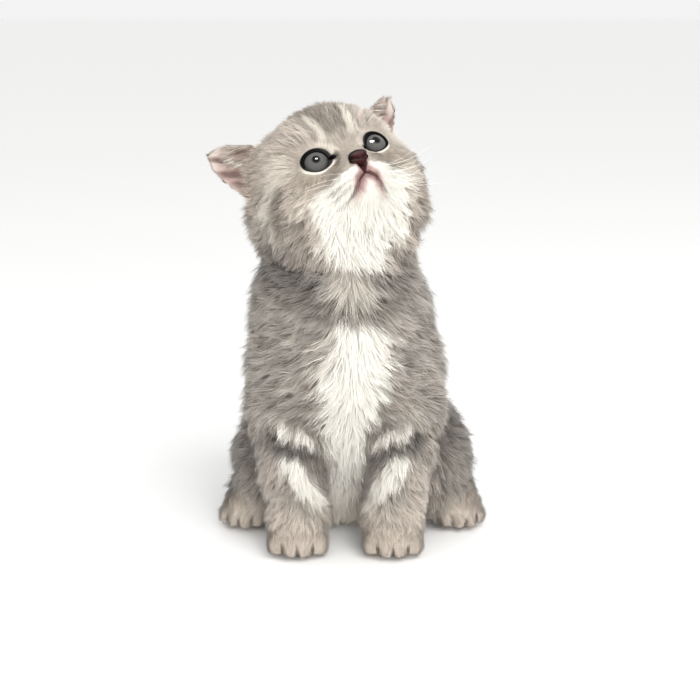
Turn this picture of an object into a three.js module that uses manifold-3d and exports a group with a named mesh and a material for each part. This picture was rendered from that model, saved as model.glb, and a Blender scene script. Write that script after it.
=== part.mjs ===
// A sitting kitten at life size, about seven weeks old, with upright ears and its face turned up and to
// its left. Millimetres, +Z up. The kitten faces -Y, its own left side is +X, and it rests on the floor
// at z = 0. Every surface is the outside of the coat. The body is one smooth form, a blend of rounded
// masses, parted by thin cuts. The masses are placed in the frame of the pose, and the whole is then
// moved so that the origin lies under the middle of the model.
import * as THREE from "three";
import { mergeVertices } from "three/addons/utils/BufferGeometryUtils.js";
import Module from "manifold-3d";

const wasm = await Module();
wasm.setup();

// Driving dimensions
const gap = 0.3; // between two parts that touch
const headCentre = [-3.5, -7, 152];
const headTurn = { yaw: 15.7, pitch: -34.9, roll: -15.6 }; // degrees: left, up, to its right shoulder
const eyeRadius = 7.2;
const eyeSpacing = 24.8;
const pawWidth = 27;
const legSpacing = 40;
const rumpShift = 3; // the rump sits a little to the kitten's left of its forelegs

// Masses of the head, in its own frame: x to the kitten's left, y back, z up, from the skull's middle.
const eyeAt = [eyeSpacing / 2, -18.7, 3];
const skull = { at: [0, 3, 5], radii: [31, 28.5, 28] };
const forehead = { at: [0, -7, 13], radii: [25, 18, 18.5] };
const cheek = { at: [17, -5, -8], radii: [18, 18.5, 16] };
const ruff = { at: [17, 5, -17], radii: [17.5, 17, 16.5] };
const nape = { at: [20, 18, -2], radii: [17.5, 14, 19] };
const throat = { at: [0, -3, -15], radii: [22, 21, 16] };
const whiskerPad = { at: [6.2, -24.8, -8.8], radii: [8, 7.8, 6.4] };
const chin = { at: [0, -22.6, -15.2], radii: [8, 7.6, 5.6] };
const noseBridge = { from: [0, -17, 9], to: [0, -29.5, -2.4], radii: [7.6, 4.5] };
const earMound = { at: [18.5, 7, 18], radii: [11, 9, 11] };
const lidCover = 1.15; // how far the lids stand over the eyeball
const lidOpening = { width: 12.6, height: 10.4, tilt: 14, outward: 10 };
const headFill = 10; // how widely the valleys between the masses are filled
const bridgeFill = 7;
const faceFill = 4.2;

// The nose leather, sunk into the end of the bridge, with two nostrils.
const noseLobe = { at: [2, -32.7, -4], radii: [2.5, 2.2, 2.1] };
const noseTop = { at: [0, -32.6, -2.7], radii: [3.7, 2.4, 1.9] };
const noseFoot = { at: [0, -32.7, -5.6], radii: [1.5, 2, 2.2] };
const noseFill = 1.2;
const nostril = { at: [2.4, -34.9, -4.6], radii: [1, 1.6, 0.7] };

// The mouth: a groove down from the nose that forks to both corners.
const mouthFork = { x: 0, z: -10.2 };
const mouthCorner = { x: 11.8, z: -18.2 };
const grooveRadius = 0.6;

// Ears: a cupped shell with a rounded tip, in its own frame: z to the tip, -y the open side.
const ear = {
  length: 26,
  rootWidth: 26,
  cup: 6.5,
  thickness: 2.1,
  sink: 5,
  curl: 1.5,
  roundness: 2.1,
  taper: 0.2,
  rimThinning: 0.55,
  flattening: 0.75,
};
const earPlace = {
  at: [25.5, 3, 14.5],
  back: 6,
  lean: { left: 41, right: 45 },
  open: { left: 42, right: 32 },
};

// Masses of the body
const chest = { at: [-1, -6, 84], radii: [36, 33, 34] };
const shoulder = { at: [25.5, -9, 72], radii: [16, 20, 24] };
const back = { at: [0, 17, 82], radii: [32, 26, 36] };
const neckRoot = { at: [-2.5, -4, 105], radii: [34, 30, 26] };
const neck = { from: [-2.5, -4, 108], to: [-3.5, -3, 138], radii: [31.5, 27] };
const belly = { at: [2, 14, 52], radii: [37, 38, 36] };
const apron = { at: [2, 7, 18.5], radii: [26, 21, 21] };
const rump = { at: [rumpShift, 34, 33], radii: [40, 38, 34] };
const thigh = { side: 33, y: 16, z: 26, radii: [19.8, 34, 28], turn: 12 };
const foreleg = { top: [27.5, -14, 58], wrist: [legSpacing / 2, -29, 18], radii: [15, 13.2] };
const forepaw = { at: [legSpacing / 2, -33, 7.6], radii: [pawWidth * 0.46, 13, 9.6], toeScale: 1 };
const hindfoot = { heel: [34, 38, 9], ball: [46.5, -1, 9.4], radii: [9.4, 11], toeScale: 0.88 };
const toe = { count: 4, spread: 19.4, radii: [4.2, 5.6, 5.9], reach: 9, arch: 3.4, z: 5.6 };
const neckFill = 6; // between the head and the body
const trunkFill = 14;
const hipFill = 8;
const legFill = 8;
const footFill = 3;
const toeFill = 1.6;

// Cuts between the parts
const headCut = { z: 121.5, tiltBack: -4 };
const neckCut = { z: 106, tiltBack: -10 };
const wristCut = 15.5;
const forelegRegion = 16.5; // radius round the bone of the leg
const pawRegion = { halfWidth: 16, front: -60, back: -15, top: 21 };
const footRegion = { radius: 13, ahead: 6, behind: 3 };
const thighRegion = { growth: 1.5, inner: 20 };

// The tail lies on the floor and curls behind the rump.
const tailPath = [
  [4, 58, 15],
  [5, 80, 8.2],
  [-3, 95, 7.4],
  [-20, 101, 6.8],
  [-37, 95, 6.2],
  [-45, 82, 5.4],
];
const tailRadii = { root: 9.4, tip: 4.6 };
const tailLengths = ["tail_root", "tail_middle", "tail_tip"];
const tailSteps = 12;

// Edge lengths of the facets
const headCell = { coarse: 4.9, fine: 3 };
const bodyCell = { coarse: 6.6 };
const neckCell = { coarse: 5.6 };
const legCell = { coarse: 4.8 };
const pawCell = { coarse: 3.5 };
const tailCell = { coarse: 4.6 };
const noseCell = { coarse: 1.2 };

// Colours of the coat and the bare skin
const greyCoat = 0xa2988f;
const paleCoat = 0xd9d0c4;
const noseSkin = 0x6b4440;
const earSkin = 0xc9aca3;
const eyeGrey = 0x6f757c;

const degrees = THREE.MathUtils.degToRad;
const sides = { left: 1, right: -1 };
const fromSide = (side, [x, y, z], shift = 0) => [side * x + shift, y, z];

// Fields: functions of x, y, z that are negative inside a form and near the distance to it outside.

function ellipsoid({ at: [cx, cy, cz], radii: [rx, ry, rz], turn = 0 }) {
  const cos = Math.cos(degrees(turn));
  const sin = Math.sin(degrees(turn));
  return (x, y, z) => {
    const u = (cos * (x - cx) + sin * (y - cy)) / rx;
    const v = (cos * (y - cy) - sin * (x - cx)) / ry;
    const w = (z - cz) / rz;
    const far = Math.hypot(u, v, w);
    const steep = Math.hypot(u / rx, v / ry, w / rz);
    return steep < 1e-9 ? -Math.min(rx, ry, rz) : (far * (far - 1)) / steep;
  };
}

function limb(from, to, [startRadius, endRadius]) {
  const [ax, ay, az] = from;
  const [dx, dy, dz] = to.map((value, i) => value - from[i]);
  const lengthSquared = dx * dx + dy * dy + dz * dz;
  return (x, y, z) => {
    const along = ((x - ax) * dx + (y - ay) * dy + (z - az) * dz) / lengthSquared;
    const t = Math.min(1, Math.max(0, along));
    const off = Math.hypot(x - ax - t * dx, y - ay - t * dy, z - az - t * dz);
    return off - startRadius - t * (endRadius - startRadius);
  };
}

// The union of the fields, with each valley between them filled over the given width.
function blend(width, ...fields) {
  return (x, y, z) => {
    let near = fields[0](x, y, z);
    for (let i = 1; i < fields.length; i++) {
      const other = fields[i](x, y, z);
      const fill = Math.max(width - Math.abs(near - other), 0) / width;
      near = Math.min(near, other) - (fill * fill * width) / 4;
    }
    return near;
  };
}

const grown = (field, growth) => (x, y, z) => field(x, y, z) - growth;
const mirrored = ({ at: [x, y, z], turn = 0, ...rest }) => ({ at: [-x, y, z], turn: -turn, ...rest });
const bothSides = (mass) => [ellipsoid(mass), ellipsoid(mirrored(mass))];

// field seen from a frame that stands at the given matrix
function seenFrom(matrix, field) {
  const e = matrix.elements;
  return (x, y, z) =>
    field(
      e[0] * x + e[4] * y + e[8] * z + e[12],
      e[1] * x + e[5] * y + e[9] * z + e[13],
      e[2] * x + e[6] * y + e[10] * z + e[14],
    );
}

// Surfaces and solids

// Grid lines from low to high: the fine cell inside the fine stretch and the coarse one outside it.
function gridLines(low, high, { coarse, fine = coarse }, [fineLow, fineHigh] = [low, high]) {
  const lines = [low];
  while (lines.at(-1) < high) {
    const last = lines.at(-1);
    lines.push(last + (last >= fineLow && last < fineHigh ? fine : coarse));
  }
  return lines;
}

// The point moved along the field's slope until it lies on the surface, unless that is further than reach.
function settled(field, point, reach) {
  const step = 0.05;
  const rounds = 4;
  const flattest = 0.1;
  const there = point.clone();
  for (let round = 0; round < rounds; round++) {
    const { x, y, z } = there;
    const slope = new THREE.Vector3(
      field(x + step, y, z) - field(x - step, y, z),
      field(x, y + step, z) - field(x, y - step, z),
      field(x, y, z + step) - field(x, y, z - step),
    ).divideScalar(2 * step);
    there.addScaledVector(slope, -field(x, y, z) / Math.max(slope.lengthSq(), flattest));
  }
  return there.distanceTo(point) > reach ? point : there;
}

// A closed surface where the field is zero: one corner in each grid cell that it crosses, settled
// onto it, and one four-sided face round each grid edge that it crosses.
function surfaceOf(form, [xs, ys, zs]) {
  const low = [xs, ys, zs].map((lines) => (lines[0] + lines[1]) / 2);
  const high = [xs, ys, zs].map((lines) => (lines.at(-1) + lines.at(-2)) / 2);
  const field = (x, y, z) =>
    Math.max(form(x, y, z), low[0] - x, low[1] - y, low[2] - z, x - high[0], y - high[1], z - high[2]);
  const [nx, ny, nz] = [xs.length, ys.length, zs.length];
  const index = (i, j, k) => (k * ny + j) * nx + i;

  const value = new Float64Array(nx * ny * nz);
  for (let k = 0; k < nz; k++)
    for (let j = 0; j < ny; j++)
      for (let i = 0; i < nx; i++) value[index(i, j, k)] = field(xs[i], ys[j], zs[k]);
  const inside = (i, j, k) => value[index(i, j, k)] < 0;

  // Where the corners of a grid square are inside and outside by turns, one more is taken as inside,
  // so that every edge of the surface lies between two faces only.
  const squares = [[1, nx], [nx, nx * ny], [nx * ny, 1]];
  const slightlyInside = -0.01;
  for (let doubtful = true; doubtful; ) {
    doubtful = false;
    for (let at = 0; at + 1 + nx + nx * ny < value.length; at++)
      for (const [u, v] of squares) {
        const [a, b, c, d] = [at, at + u, at + u + v, at + v].map((n) => value[n] < 0);
        if (a !== c || b !== d || a === b) continue;
        value[a ? at + u : at] = slightlyInside;
        doubtful = true;
      }
  }

  const cells = [];
  for (let k = 0; k + 1 < nz; k++)
    for (let j = 0; j + 1 < ny; j++) for (let i = 0; i + 1 < nx; i++) cells.push([i, j, k]);

  // Where the surface crosses the grid edge between two grid points
  function crossing(a, b) {
    const share = value[index(...a)] / (value[index(...a)] - value[index(...b)]);
    const [p, q] = [a, b].map(([i, j, k]) => new THREE.Vector3(xs[i], ys[j], zs[k]));
    return p.lerp(q, share);
  }

  function edgesOf([i, j, k]) {
    const edges = [];
    for (const p of [0, 1])
      for (const q of [0, 1]) {
        edges.push([[i, j + p, k + q], [i + 1, j + p, k + q]]);
        edges.push([[i + p, j, k + q], [i + p, j + 1, k + q]]);
        edges.push([[i + p, j + q, k], [i + p, j + q, k + 1]]);
      }
    return edges.filter(([a, b]) => inside(...a) !== inside(...b));
  }

  const reachShare = 0.45; // of a cell, so that corners of two cells never pass each other
  const corners = [];
  const cornerOf = new Int32Array(nx * ny * nz).fill(-1);
  for (const cell of cells) {
    const crossings = edgesOf(cell).map(([a, b]) => crossing(a, b));
    if (!crossings.length) continue;
    const sum = crossings.reduce((total, c) => total.add(c), new THREE.Vector3());
    const cellSize = xs[cell[0] + 1] - xs[cell[0]];
    cornerOf[index(...cell)] = corners.length;
    corners.push(settled(field, sum.divideScalar(crossings.length), reachShare * cellSize));
  }

  const faces = [];
  function face(ring, outward) {
    const [a, b, c, d] = outward ? ring : [...ring].reverse();
    const across = corners[a].distanceTo(corners[c]) <= corners[b].distanceTo(corners[d]);
    faces.push(...(across ? [a, b, c, a, c, d] : [b, c, d, b, d, a]));
  }
  for (const [i, j, k] of cells) {
    const here = inside(i, j, k);
    const corner = (di, dj, dk) => cornerOf[index(i - di, j - dj, k - dk)];
    if (here !== inside(i + 1, j, k))
      face([corner(0, 1, 1), corner(0, 0, 1), corner(0, 0, 0), corner(0, 1, 0)], here);
    if (here !== inside(i, j + 1, k))
      face([corner(1, 0, 1), corner(1, 0, 0), corner(0, 0, 0), corner(0, 0, 1)], here);
    if (here !== inside(i, j, k + 1))
      face([corner(1, 1, 0), corner(0, 1, 0), corner(0, 0, 0), corner(1, 0, 0)], here);
  }
  const geometry = new THREE.BufferGeometry().setFromPoints(corners);
  geometry.setIndex(faces);
  return geometry;
}

function solidOf(geometry) {
  const bare = new THREE.BufferGeometry().setAttribute("position", geometry.getAttribute("position"));
  bare.setIndex(geometry.index);
  const merged = mergeVertices(bare, 1e-4);
  return new wasm.Manifold(
    new wasm.Mesh({
      numProp: 3,
      vertProperties: new Float32Array(merged.attributes.position.array),
      triVerts: new Uint32Array(merged.index.array),
    }),
  );
}

// The solid's surface, with corners closer together than a cut leaves them of any use made one.
function geometryOf(solid) {
  const closest = 0.01;
  const mesh = solid.getMesh();
  const positions = new Float32Array(mesh.numVert * 3);
  for (let v = 0; v < mesh.numVert; v++)
    positions.set(mesh.vertProperties.subarray(v * mesh.numProp, v * mesh.numProp + 3), v * 3);
  const cut = new THREE.BufferGeometry().setAttribute("position", new THREE.BufferAttribute(positions, 3));
  cut.setIndex(new THREE.BufferAttribute(new Uint32Array(mesh.triVerts), 1));
  const geometry = mergeVertices(cut, closest);
  const faces = [];
  for (let n = 0; n < geometry.index.count; n += 3) {
    const [a, b, c] = geometry.index.array.subarray(n, n + 3);
    if (a !== b && b !== c && c !== a) faces.push(a, b, c);
  }
  geometry.setIndex(faces);
  geometry.computeVertexNormals();
  return geometry;
}

// Only the largest closed body, so that a cut leaves no scrap.
const largest = (solid) => solid.decompose().reduce((best, s) => (s.volume() > best.volume() ? s : best));

const placed = (geometry, matrix) => solidOf(geometry.clone().applyMatrix4(matrix));

function solidOfField(field, low, high, cell, fineStretch = []) {
  return solidOf(surfaceOf(field, [0, 1, 2].map((a) => gridLines(low[a], high[a], cell, fineStretch[a]))));
}

function block(low, high) {
  const size = high.map((value, i) => value - low[i]);
  const middle = high.map((value, i) => (value + low[i]) / 2);
  return placed(new THREE.BoxGeometry(...size), new THREE.Matrix4().makeTranslation(...middle));
}

const wide = 400;
const aboveLevel = (z) => block([-wide, -wide, z], [wide, wide, z + wide]);
const aboveFloor = aboveLevel(0);

// Everything above the plane through (0, 0, z) that leans back by tiltBack degrees, lifted by lift.
function above({ z, tiltBack }, lift) {
  const place = new THREE.Matrix4()
    .makeTranslation(0, 0, z + lift)
    .multiply(new THREE.Matrix4().makeRotationX(degrees(tiltBack)));
  return placed(new THREE.BoxGeometry(wide, wide, wide).translate(0, 0, wide / 2), place);
}

// A rounded region round a bone, that parts a leg or a foot from the rest.
function boneRegion(from, to, radius) {
  const [a, b] = [new THREE.Vector3(...from), new THREE.Vector3(...to)];
  const along = b.clone().sub(a).normalize();
  const turn = new THREE.Quaternion().setFromUnitVectors(new THREE.Vector3(0, 1, 0), along);
  const place = new THREE.Matrix4().compose(a.clone().lerp(b, 0.5), turn, new THREE.Vector3(1, 1, 1));
  return placed(new THREE.CapsuleGeometry(radius, a.distanceTo(b), 3, 10), place);
}

function ellipsoidRegion({ at, radii, turn = 0 }, segments) {
  const place = new THREE.Matrix4().compose(
    new THREE.Vector3(...at),
    new THREE.Quaternion().setFromEuler(new THREE.Euler(0, 0, degrees(turn))),
    new THREE.Vector3(...radii),
  );
  return placed(new THREE.SphereGeometry(1, segments, segments / 2), place);
}

// The head, in its own frame

const headFrame = new THREE.Matrix4().compose(
  new THREE.Vector3(...headCentre),
  new THREE.Quaternion().setFromEuler(
    new THREE.Euler(degrees(headTurn.pitch), degrees(headTurn.roll), degrees(headTurn.yaw), "ZXY"),
  ),
  new THREE.Vector3(1, 1, 1),
);
const headFrameBack = headFrame.clone().invert();

const cranium = blend(
  headFill,
  ellipsoid(skull),
  ellipsoid(forehead),
  ...[cheek, ruff, nape, earMound].flatMap(bothSides),
  ellipsoid(throat),
);
const face = blend(
  faceFill,
  blend(bridgeFill, cranium, limb(noseBridge.from, noseBridge.to, noseBridge.radii)),
  ...bothSides({ at: eyeAt, radii: Array(3).fill(eyeRadius + lidCover) }),
  ...bothSides(whiskerPad),
  ellipsoid(chin),
);
const noseLeather = blend(noseFill, ...bothSides(noseLobe), ellipsoid(noseTop), ellipsoid(noseFoot));

// Where a line along y, at this x and z, first meets the face from the front.
function faceAt(x, z) {
  const start = -60;
  const [near, least, share] = [0.01, 0.02, 0.6];
  let y = start;
  for (let off = face(x, y, z); off > near && y < 0; off = face(x, y, z))
    y += Math.max(least, off * share);
  return new THREE.Vector3(x, y, z);
}

// A groove of the given radius along a curve on the face, as a solid to cut away.
function groove(curve, steps) {
  const section = new THREE.Shape().absarc(0, 0, grooveRadius, 0, 2 * Math.PI);
  const options = { steps, bevelEnabled: false, curveSegments: 6, extrudePath: curve };
  return solidOf(new THREE.ExtrudeGeometry(section, options));
}

function mouthGrooves() {
  const underNose = faceAt(0, noseFoot.at[2] - 1);
  const middle = new THREE.LineCurve3(underNose, faceAt(mouthFork.x, mouthFork.z));
  const droop = 0.85; // how late along its way the line of the lips drops
  const sideways = Object.values(sides).map((side) => {
    const points = [0, 0.25, 0.5, 0.75, 1].map((t) => {
      const z = mouthFork.z + (mouthCorner.z - mouthFork.z) * t ** droop;
      return faceAt(side * mouthCorner.x * t, z);
    });
    return new THREE.CatmullRomCurve3(points);
  });
  const steps = 7;
  return [groove(middle, 1), ...sideways.map((curve) => groove(curve, steps))];
}

// The almond between the lids, as a prism along the line of sight.
function lidWindow(side) {
  const { width, height, tilt, outward } = lidOpening;
  const [left, right] = [-width / 2, width / 2];
  const [upper, lower] = [height * 0.66, -height * 0.61]; // the handles of the lids' curves
  const almond = new THREE.Shape();
  almond.moveTo(left, 0);
  almond.bezierCurveTo(left * 0.72, upper, right * 0.6, upper, right, 0);
  almond.bezierCurveTo(right * 0.72, lower, left * 0.64, lower, left, 0);
  const options = { depth: 2 * eyeRadius, bevelEnabled: false, curveSegments: 7 };
  const prism = new THREE.ExtrudeGeometry(almond, options);
  const sight = new THREE.Matrix4()
    .makeTranslation(side * eyeAt[0], eyeAt[1], eyeAt[2])
    .multiply(new THREE.Matrix4().makeRotationZ(degrees(side * outward)))
    .multiply(new THREE.Matrix4().makeRotationX(degrees(90)))
    .multiply(new THREE.Matrix4().makeRotationZ(degrees(side * tilt)));
  return placed(prism, sight);
}

// A cupped ear: a sheet that narrows to a rounded tip, curved about its length, on one grid for both faces.
function earShell() {
  const [rows, columns] = [8, 8];
  const { length, rootWidth, cup, thickness, sink, curl, roundness, taper, rimThinning, flattening } = ear;
  const bluntTip = 0.06; // of the root's width
  const corners = [];
  for (const front of [1, -1])
    for (let row = 0; row <= rows; row++)
      for (let column = 0; column <= columns; column++) {
        const u = row / rows;
        const v = (2 * column) / columns - 1;
        const outline = Math.sqrt(1 - u ** roundness) * (1 - taper * u) + (row === rows ? bluntTip : 0);
        const half = (thickness / 2) * (1 - rimThinning * Math.abs(v) ** 3);
        const bow = cup * (1 - v * v) * (1 - flattening * u) - curl * u * u;
        const z = u * (length + sink) - sink;
        corners.push(new THREE.Vector3((v * rootWidth * outline) / 2, bow - front * half, z));
      }
  const across = columns + 1;
  const id = (row, column, front) => (front ? 0 : (rows + 1) * across) + row * across + column;
  const index = [];
  const quad = (a, b, c, d) => index.push(a, b, c, a, c, d);
  for (let row = 0; row < rows; row++)
    for (let column = 0; column < columns; column++)
      for (const front of [true, false]) {
        const a = id(row, column, front);
        const b = id(row, column + 1, front);
        const c = id(row + 1, column + 1, front);
        const d = id(row + 1, column, front);
        index.push(...(front ? [a, b, c, a, c, d] : [a, c, b, a, d, c]));
      }
  // The band that joins the two faces between two corners of the outline
  const band = (a, b) => quad(id(...a, true), id(...b, true), id(...b, false), id(...a, false));
  for (let row = 0; row < rows; row++) {
    band([row, 0], [row + 1, 0]);
    band([row + 1, columns], [row, columns]);
  }
  for (let column = 0; column < columns; column++) {
    band([0, column + 1], [0, column]);
    band([rows, column], [rows, column + 1]);
  }
  const geometry = new THREE.BufferGeometry().setFromPoints(corners);
  geometry.setIndex(index);
  return geometry;
}

function earMatrix(name) {
  const side = sides[name];
  return new THREE.Matrix4()
    .makeTranslation(...fromSide(side, earPlace.at))
    .multiply(new THREE.Matrix4().makeRotationY(degrees(side * earPlace.lean[name])))
    .multiply(new THREE.Matrix4().makeRotationX(degrees(-earPlace.back)))
    .multiply(new THREE.Matrix4().makeRotationZ(degrees(side * earPlace.open[name])));
}

// The body, in the frame of the pose

// Four toes in an arch before a foot's ball
function toes([x, y], turn, scale) {
  const [cos, sin] = [Math.cos(degrees(turn)), Math.sin(degrees(turn))];
  return Array.from({ length: toe.count }, (_, n) => {
    const share = (2 * n) / (toe.count - 1) - 1;
    const across = (share * toe.spread * scale) / 2;
    const ahead = toe.arch * share ** 2 - toe.reach;
    const radii = toe.radii.map((r) => r * scale);
    const at = [x + cos * across - sin * ahead, y + sin * across + cos * ahead, toe.z * scale];
    return ellipsoid({ at, radii, turn });
  });
}

function forelegField(side) {
  const paw = { ...forepaw, at: fromSide(side, forepaw.at) };
  const pawField = blend(toeFill, ellipsoid(paw), ...toes(paw.at, 0, paw.toeScale));
  const leg = limb(fromSide(side, foreleg.top), fromSide(side, foreleg.wrist), foreleg.radii);
  return blend(legFill, leg, pawField);
}

function hindfootBone(side) {
  return [fromSide(side, hindfoot.heel, rumpShift), fromSide(side, hindfoot.ball, rumpShift)];
}

function hindfootField(side) {
  const [heel, ball] = hindfootBone(side);
  const turn = THREE.MathUtils.radToDeg(Math.atan2(ball[0] - heel[0], heel[1] - ball[1]));
  return blend(toeFill, limb(heel, ball, hindfoot.radii), ...toes(ball, turn, hindfoot.toeScale));
}

const thighMass = (side, growth = 0) => ({
  at: [rumpShift + side * thigh.side, thigh.y, thigh.z],
  radii: thigh.radii.map((r) => r + growth),
  turn: side * thigh.turn,
});

const trunk = blend(
  trunkFill,
  ellipsoid(chest),
  ...bothSides(shoulder),
  ellipsoid(back),
  ellipsoid(neckRoot),
  limb(neck.from, neck.to, neck.radii),
  ellipsoid(belly),
  ellipsoid(rump),
);
const thighs = Object.values(sides).map((side) => ellipsoid(thighMass(side)));
const hips = blend(hipFill, trunk, ellipsoid(apron), ...thighs);
const withForelegs = blend(legFill, hips, ...Object.values(sides).map(forelegField));
const body = blend(footFill, withForelegs, ...Object.values(sides).map(hindfootField));
const whole = blend(neckFill, body, seenFrom(headFrameBack, face));

const tailCurve = new THREE.CatmullRomCurve3(tailPath.map((p) => new THREE.Vector3(...p)));
const tailRadiusAt = (t) => tailRadii.root + t * (tailRadii.tip - tailRadii.root);
const tailField = blend(
  footFill,
  ...Array.from({ length: tailSteps }, (_, n) => {
    const ends = [n / tailSteps, (n + 1) / tailSteps];
    return limb(...ends.map((t) => tailCurve.getPointAt(t).toArray()), ends.map(tailRadiusAt));
  }),
);

// A thin slab across the tail at this share of its length
function tailSlab(t) {
  const up = new THREE.Vector3(0, 0, 1);
  const turn = new THREE.Quaternion().setFromUnitVectors(up, tailCurve.getTangentAt(t));
  const place = new THREE.Matrix4().compose(tailCurve.getPointAt(t), turn, new THREE.Vector3(1, 1, 1));
  const width = 3 * tailRadii.root;
  return placed(new THREE.BoxGeometry(width, width, gap), place);
}

// How far along the tail the middle of a piece lies
function tailOrder(piece) {
  const { min, max } = piece.boundingBox();
  const middle = new THREE.Vector3(...min.map((value, i) => (value + max[i]) / 2));
  const steps = 40;
  const offs = tailCurve.getSpacedPoints(steps).map((point) => point.distanceTo(middle));
  return offs.indexOf(Math.min(...offs)) / steps;
}

// Parts

const kitten = new THREE.Group();
const headGroup = new THREE.Group();
headGroup.applyMatrix4(headFrame);
kitten.add(headGroup);

function addPart(group, name, geometry, color, roughness = 0.85) {
  const material = new THREE.MeshStandardMaterial({ color, roughness, metalness: 0 });
  const mesh = new THREE.Mesh(geometry, material);
  mesh.name = name;
  group.add(mesh);
  return mesh;
}

const addSolid = (group, name, solid, ...finish) =>
  addPart(group, name, geometryOf(largest(solid)), ...finish);

function addHead() {
  const reach = 56;
  const fineStretch = [[-18, 18], [-36, -18], [-20, 8]];
  const grid = [Array(3).fill(-reach), Array(3).fill(reach), headCell, fineStretch];
  const inHeadFrame = seenFrom(headFrame, whole);
  const aboveNeck = above(headCut, gap / 2).transform(headFrameBack.elements);
  let head = solidOfField(inHeadFrame, ...grid).intersect(aboveNeck);

  const noseGrid = [[-8.4, -38, -11], [8.4, -27, 1], noseCell];
  head = head.subtract(solidOfField(grown(noseLeather, gap), ...noseGrid));
  for (const cut of mouthGrooves()) head = head.subtract(cut);
  for (const side of Object.values(sides)) {
    const socket = { at: fromSide(side, eyeAt), radii: Array(3).fill(eyeRadius + gap) };
    head = head.subtract(ellipsoidRegion(socket, 20)).subtract(lidWindow(side));
  }
  addSolid(headGroup, "head", head, paleCoat);

  const holes = [nostril, mirrored(nostril)].map((hole) => ellipsoidRegion(hole, 10));
  const nose = solidOfField(noseLeather, ...noseGrid).subtract(holes[0]).subtract(holes[1]);
  addSolid(headGroup, "nose", nose, noseSkin, 0.5);

  const headGrown = solidOfField(grown(inHeadFrame, gap), ...grid);
  for (const [name, side] of Object.entries(sides)) {
    const shell = placed(earShell(), earMatrix(name));
    addSolid(headGroup, `ear_${name}`, shell.subtract(headGrown), earSkin);
    const ball = new THREE.SphereGeometry(eyeRadius, 16, 9);
    const eye = addPart(headGroup, `eye_${name}`, ball, eyeGrey, 0.1);
    eye.position.set(...fromSide(side, eyeAt));
  }
}

const forelegPart = (side, growth) =>
  boneRegion(fromSide(side, foreleg.top), fromSide(side, foreleg.wrist), forelegRegion + growth);

function pawPart(side, growth) {
  const { halfWidth, front, back: rear, top } = pawRegion;
  const x = side * forepaw.at[0];
  const reach = halfWidth + growth;
  return block([x - reach, front, -growth], [x + reach, rear + growth, top + growth]);
}

function footPart(side, growth) {
  const [heel, ball] = hindfootBone(side).map((p) => new THREE.Vector3(...p));
  const along = ball.clone().sub(heel).normalize();
  const from = heel.addScaledVector(along, -footRegion.behind).toArray();
  const to = ball.addScaledVector(along, footRegion.ahead).toArray();
  return boneRegion(from, to, footRegion.radius + growth);
}

function thighPart(side, growth) {
  const inner = thighRegion.inner - growth;
  const beyond = side > 0 ? [rumpShift + inner, wide] : [-wide, rumpShift - inner];
  return ellipsoidRegion(thighMass(side, thighRegion.growth + growth), 18).intersect(
    block([beyond[0], -wide, -wide], [beyond[1], wide, wide]),
  );
}

function addBody() {
  const trunkSolid = solidOfField(body, [-68, -60, -6], [76, 86, 150], bodyCell).intersect(aboveFloor);
  const neckSolid = solidOfField(whole, [-60, -56, 90], [60, 60, 140], neckCell)
    .intersect(above(neckCut, gap / 2))
    .subtract(above(headCut, -gap / 2));
  addSolid(kitten, "neck", neckSolid, greyCoat);

  const tailGrid = [[-62, 40, -6], [24, 118, 32], tailCell];
  const tailRoom = solidOfField(grown(tailField, gap), ...tailGrid);
  let torso = trunkSolid.subtract(above(neckCut, -gap / 2)).subtract(tailRoom);
  for (const [name, side] of Object.entries(sides)) {
    const legAt = side * foreleg.top[0];
    const leg = solidOfField(withForelegs, [legAt - 26, -62, 8], [legAt + 26, 16, 90], legCell)
      .intersect(forelegPart(side, 0))
      .intersect(aboveLevel(wristCut + gap / 2));
    addSolid(kitten, `foreleg_${name}`, leg, greyCoat);

    const pawAt = side * forepaw.at[0];
    const paw = solidOfField(withForelegs, [pawAt - 21, -62, -5], [pawAt + 21, -8, 22], pawCell)
      .intersect(pawPart(side, 0))
      .intersect(aboveFloor)
      .subtract(aboveLevel(wristCut - gap / 2));
    addSolid(kitten, `forepaw_${name}`, paw, paleCoat);

    const footAt = rumpShift + side * hindfoot.ball[0];
    const foot = solidOfField(body, [footAt - 40, -22, -5], [footAt + 40, 60, 26], pawCell)
      .intersect(footPart(side, 0))
      .intersect(aboveFloor)
      .subtract(pawPart(side, gap));
    addSolid(kitten, `hindfoot_${name}`, foot, paleCoat);

    const without = (solid, regions) => regions.reduce((rest, region) => rest.subtract(region), solid);
    const legs = [forelegPart(side, gap), pawPart(side, gap), footPart(side, gap)];
    addSolid(kitten, `thigh_${name}`, without(trunkSolid.intersect(thighPart(side, 0)), legs), greyCoat);
    torso = without(torso, [...legs, thighPart(side, gap)]);
  }
  addSolid(kitten, "torso", torso, greyCoat);

  const tail = solidOfField(tailField, ...tailGrid).intersect(aboveFloor);
  const lengths = tailLengths.slice(1).reduce((rest, _, n) => rest.subtract(tailSlab((n + 1) / 3)), tail);
  const inOrder = lengths.decompose().sort((a, b) => tailOrder(a) - tailOrder(b));
  tailLengths.forEach((name, n) => addSolid(kitten, name, inOrder[n], greyCoat));
}

addHead();
addBody();

// The origin under the middle of the model
const middle = new THREE.Box3().setFromObject(kitten, true).getCenter(new THREE.Vector3());
kitten.position.set(-middle.x, -middle.y, 0);

export default kitten;
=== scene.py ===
import math

import bmesh
import bpy
import numpy as np
from mathutils import Matrix, Vector
from mathutils.bvhtree import BVHTree
from mathutils.kdtree import KDTree


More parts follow.
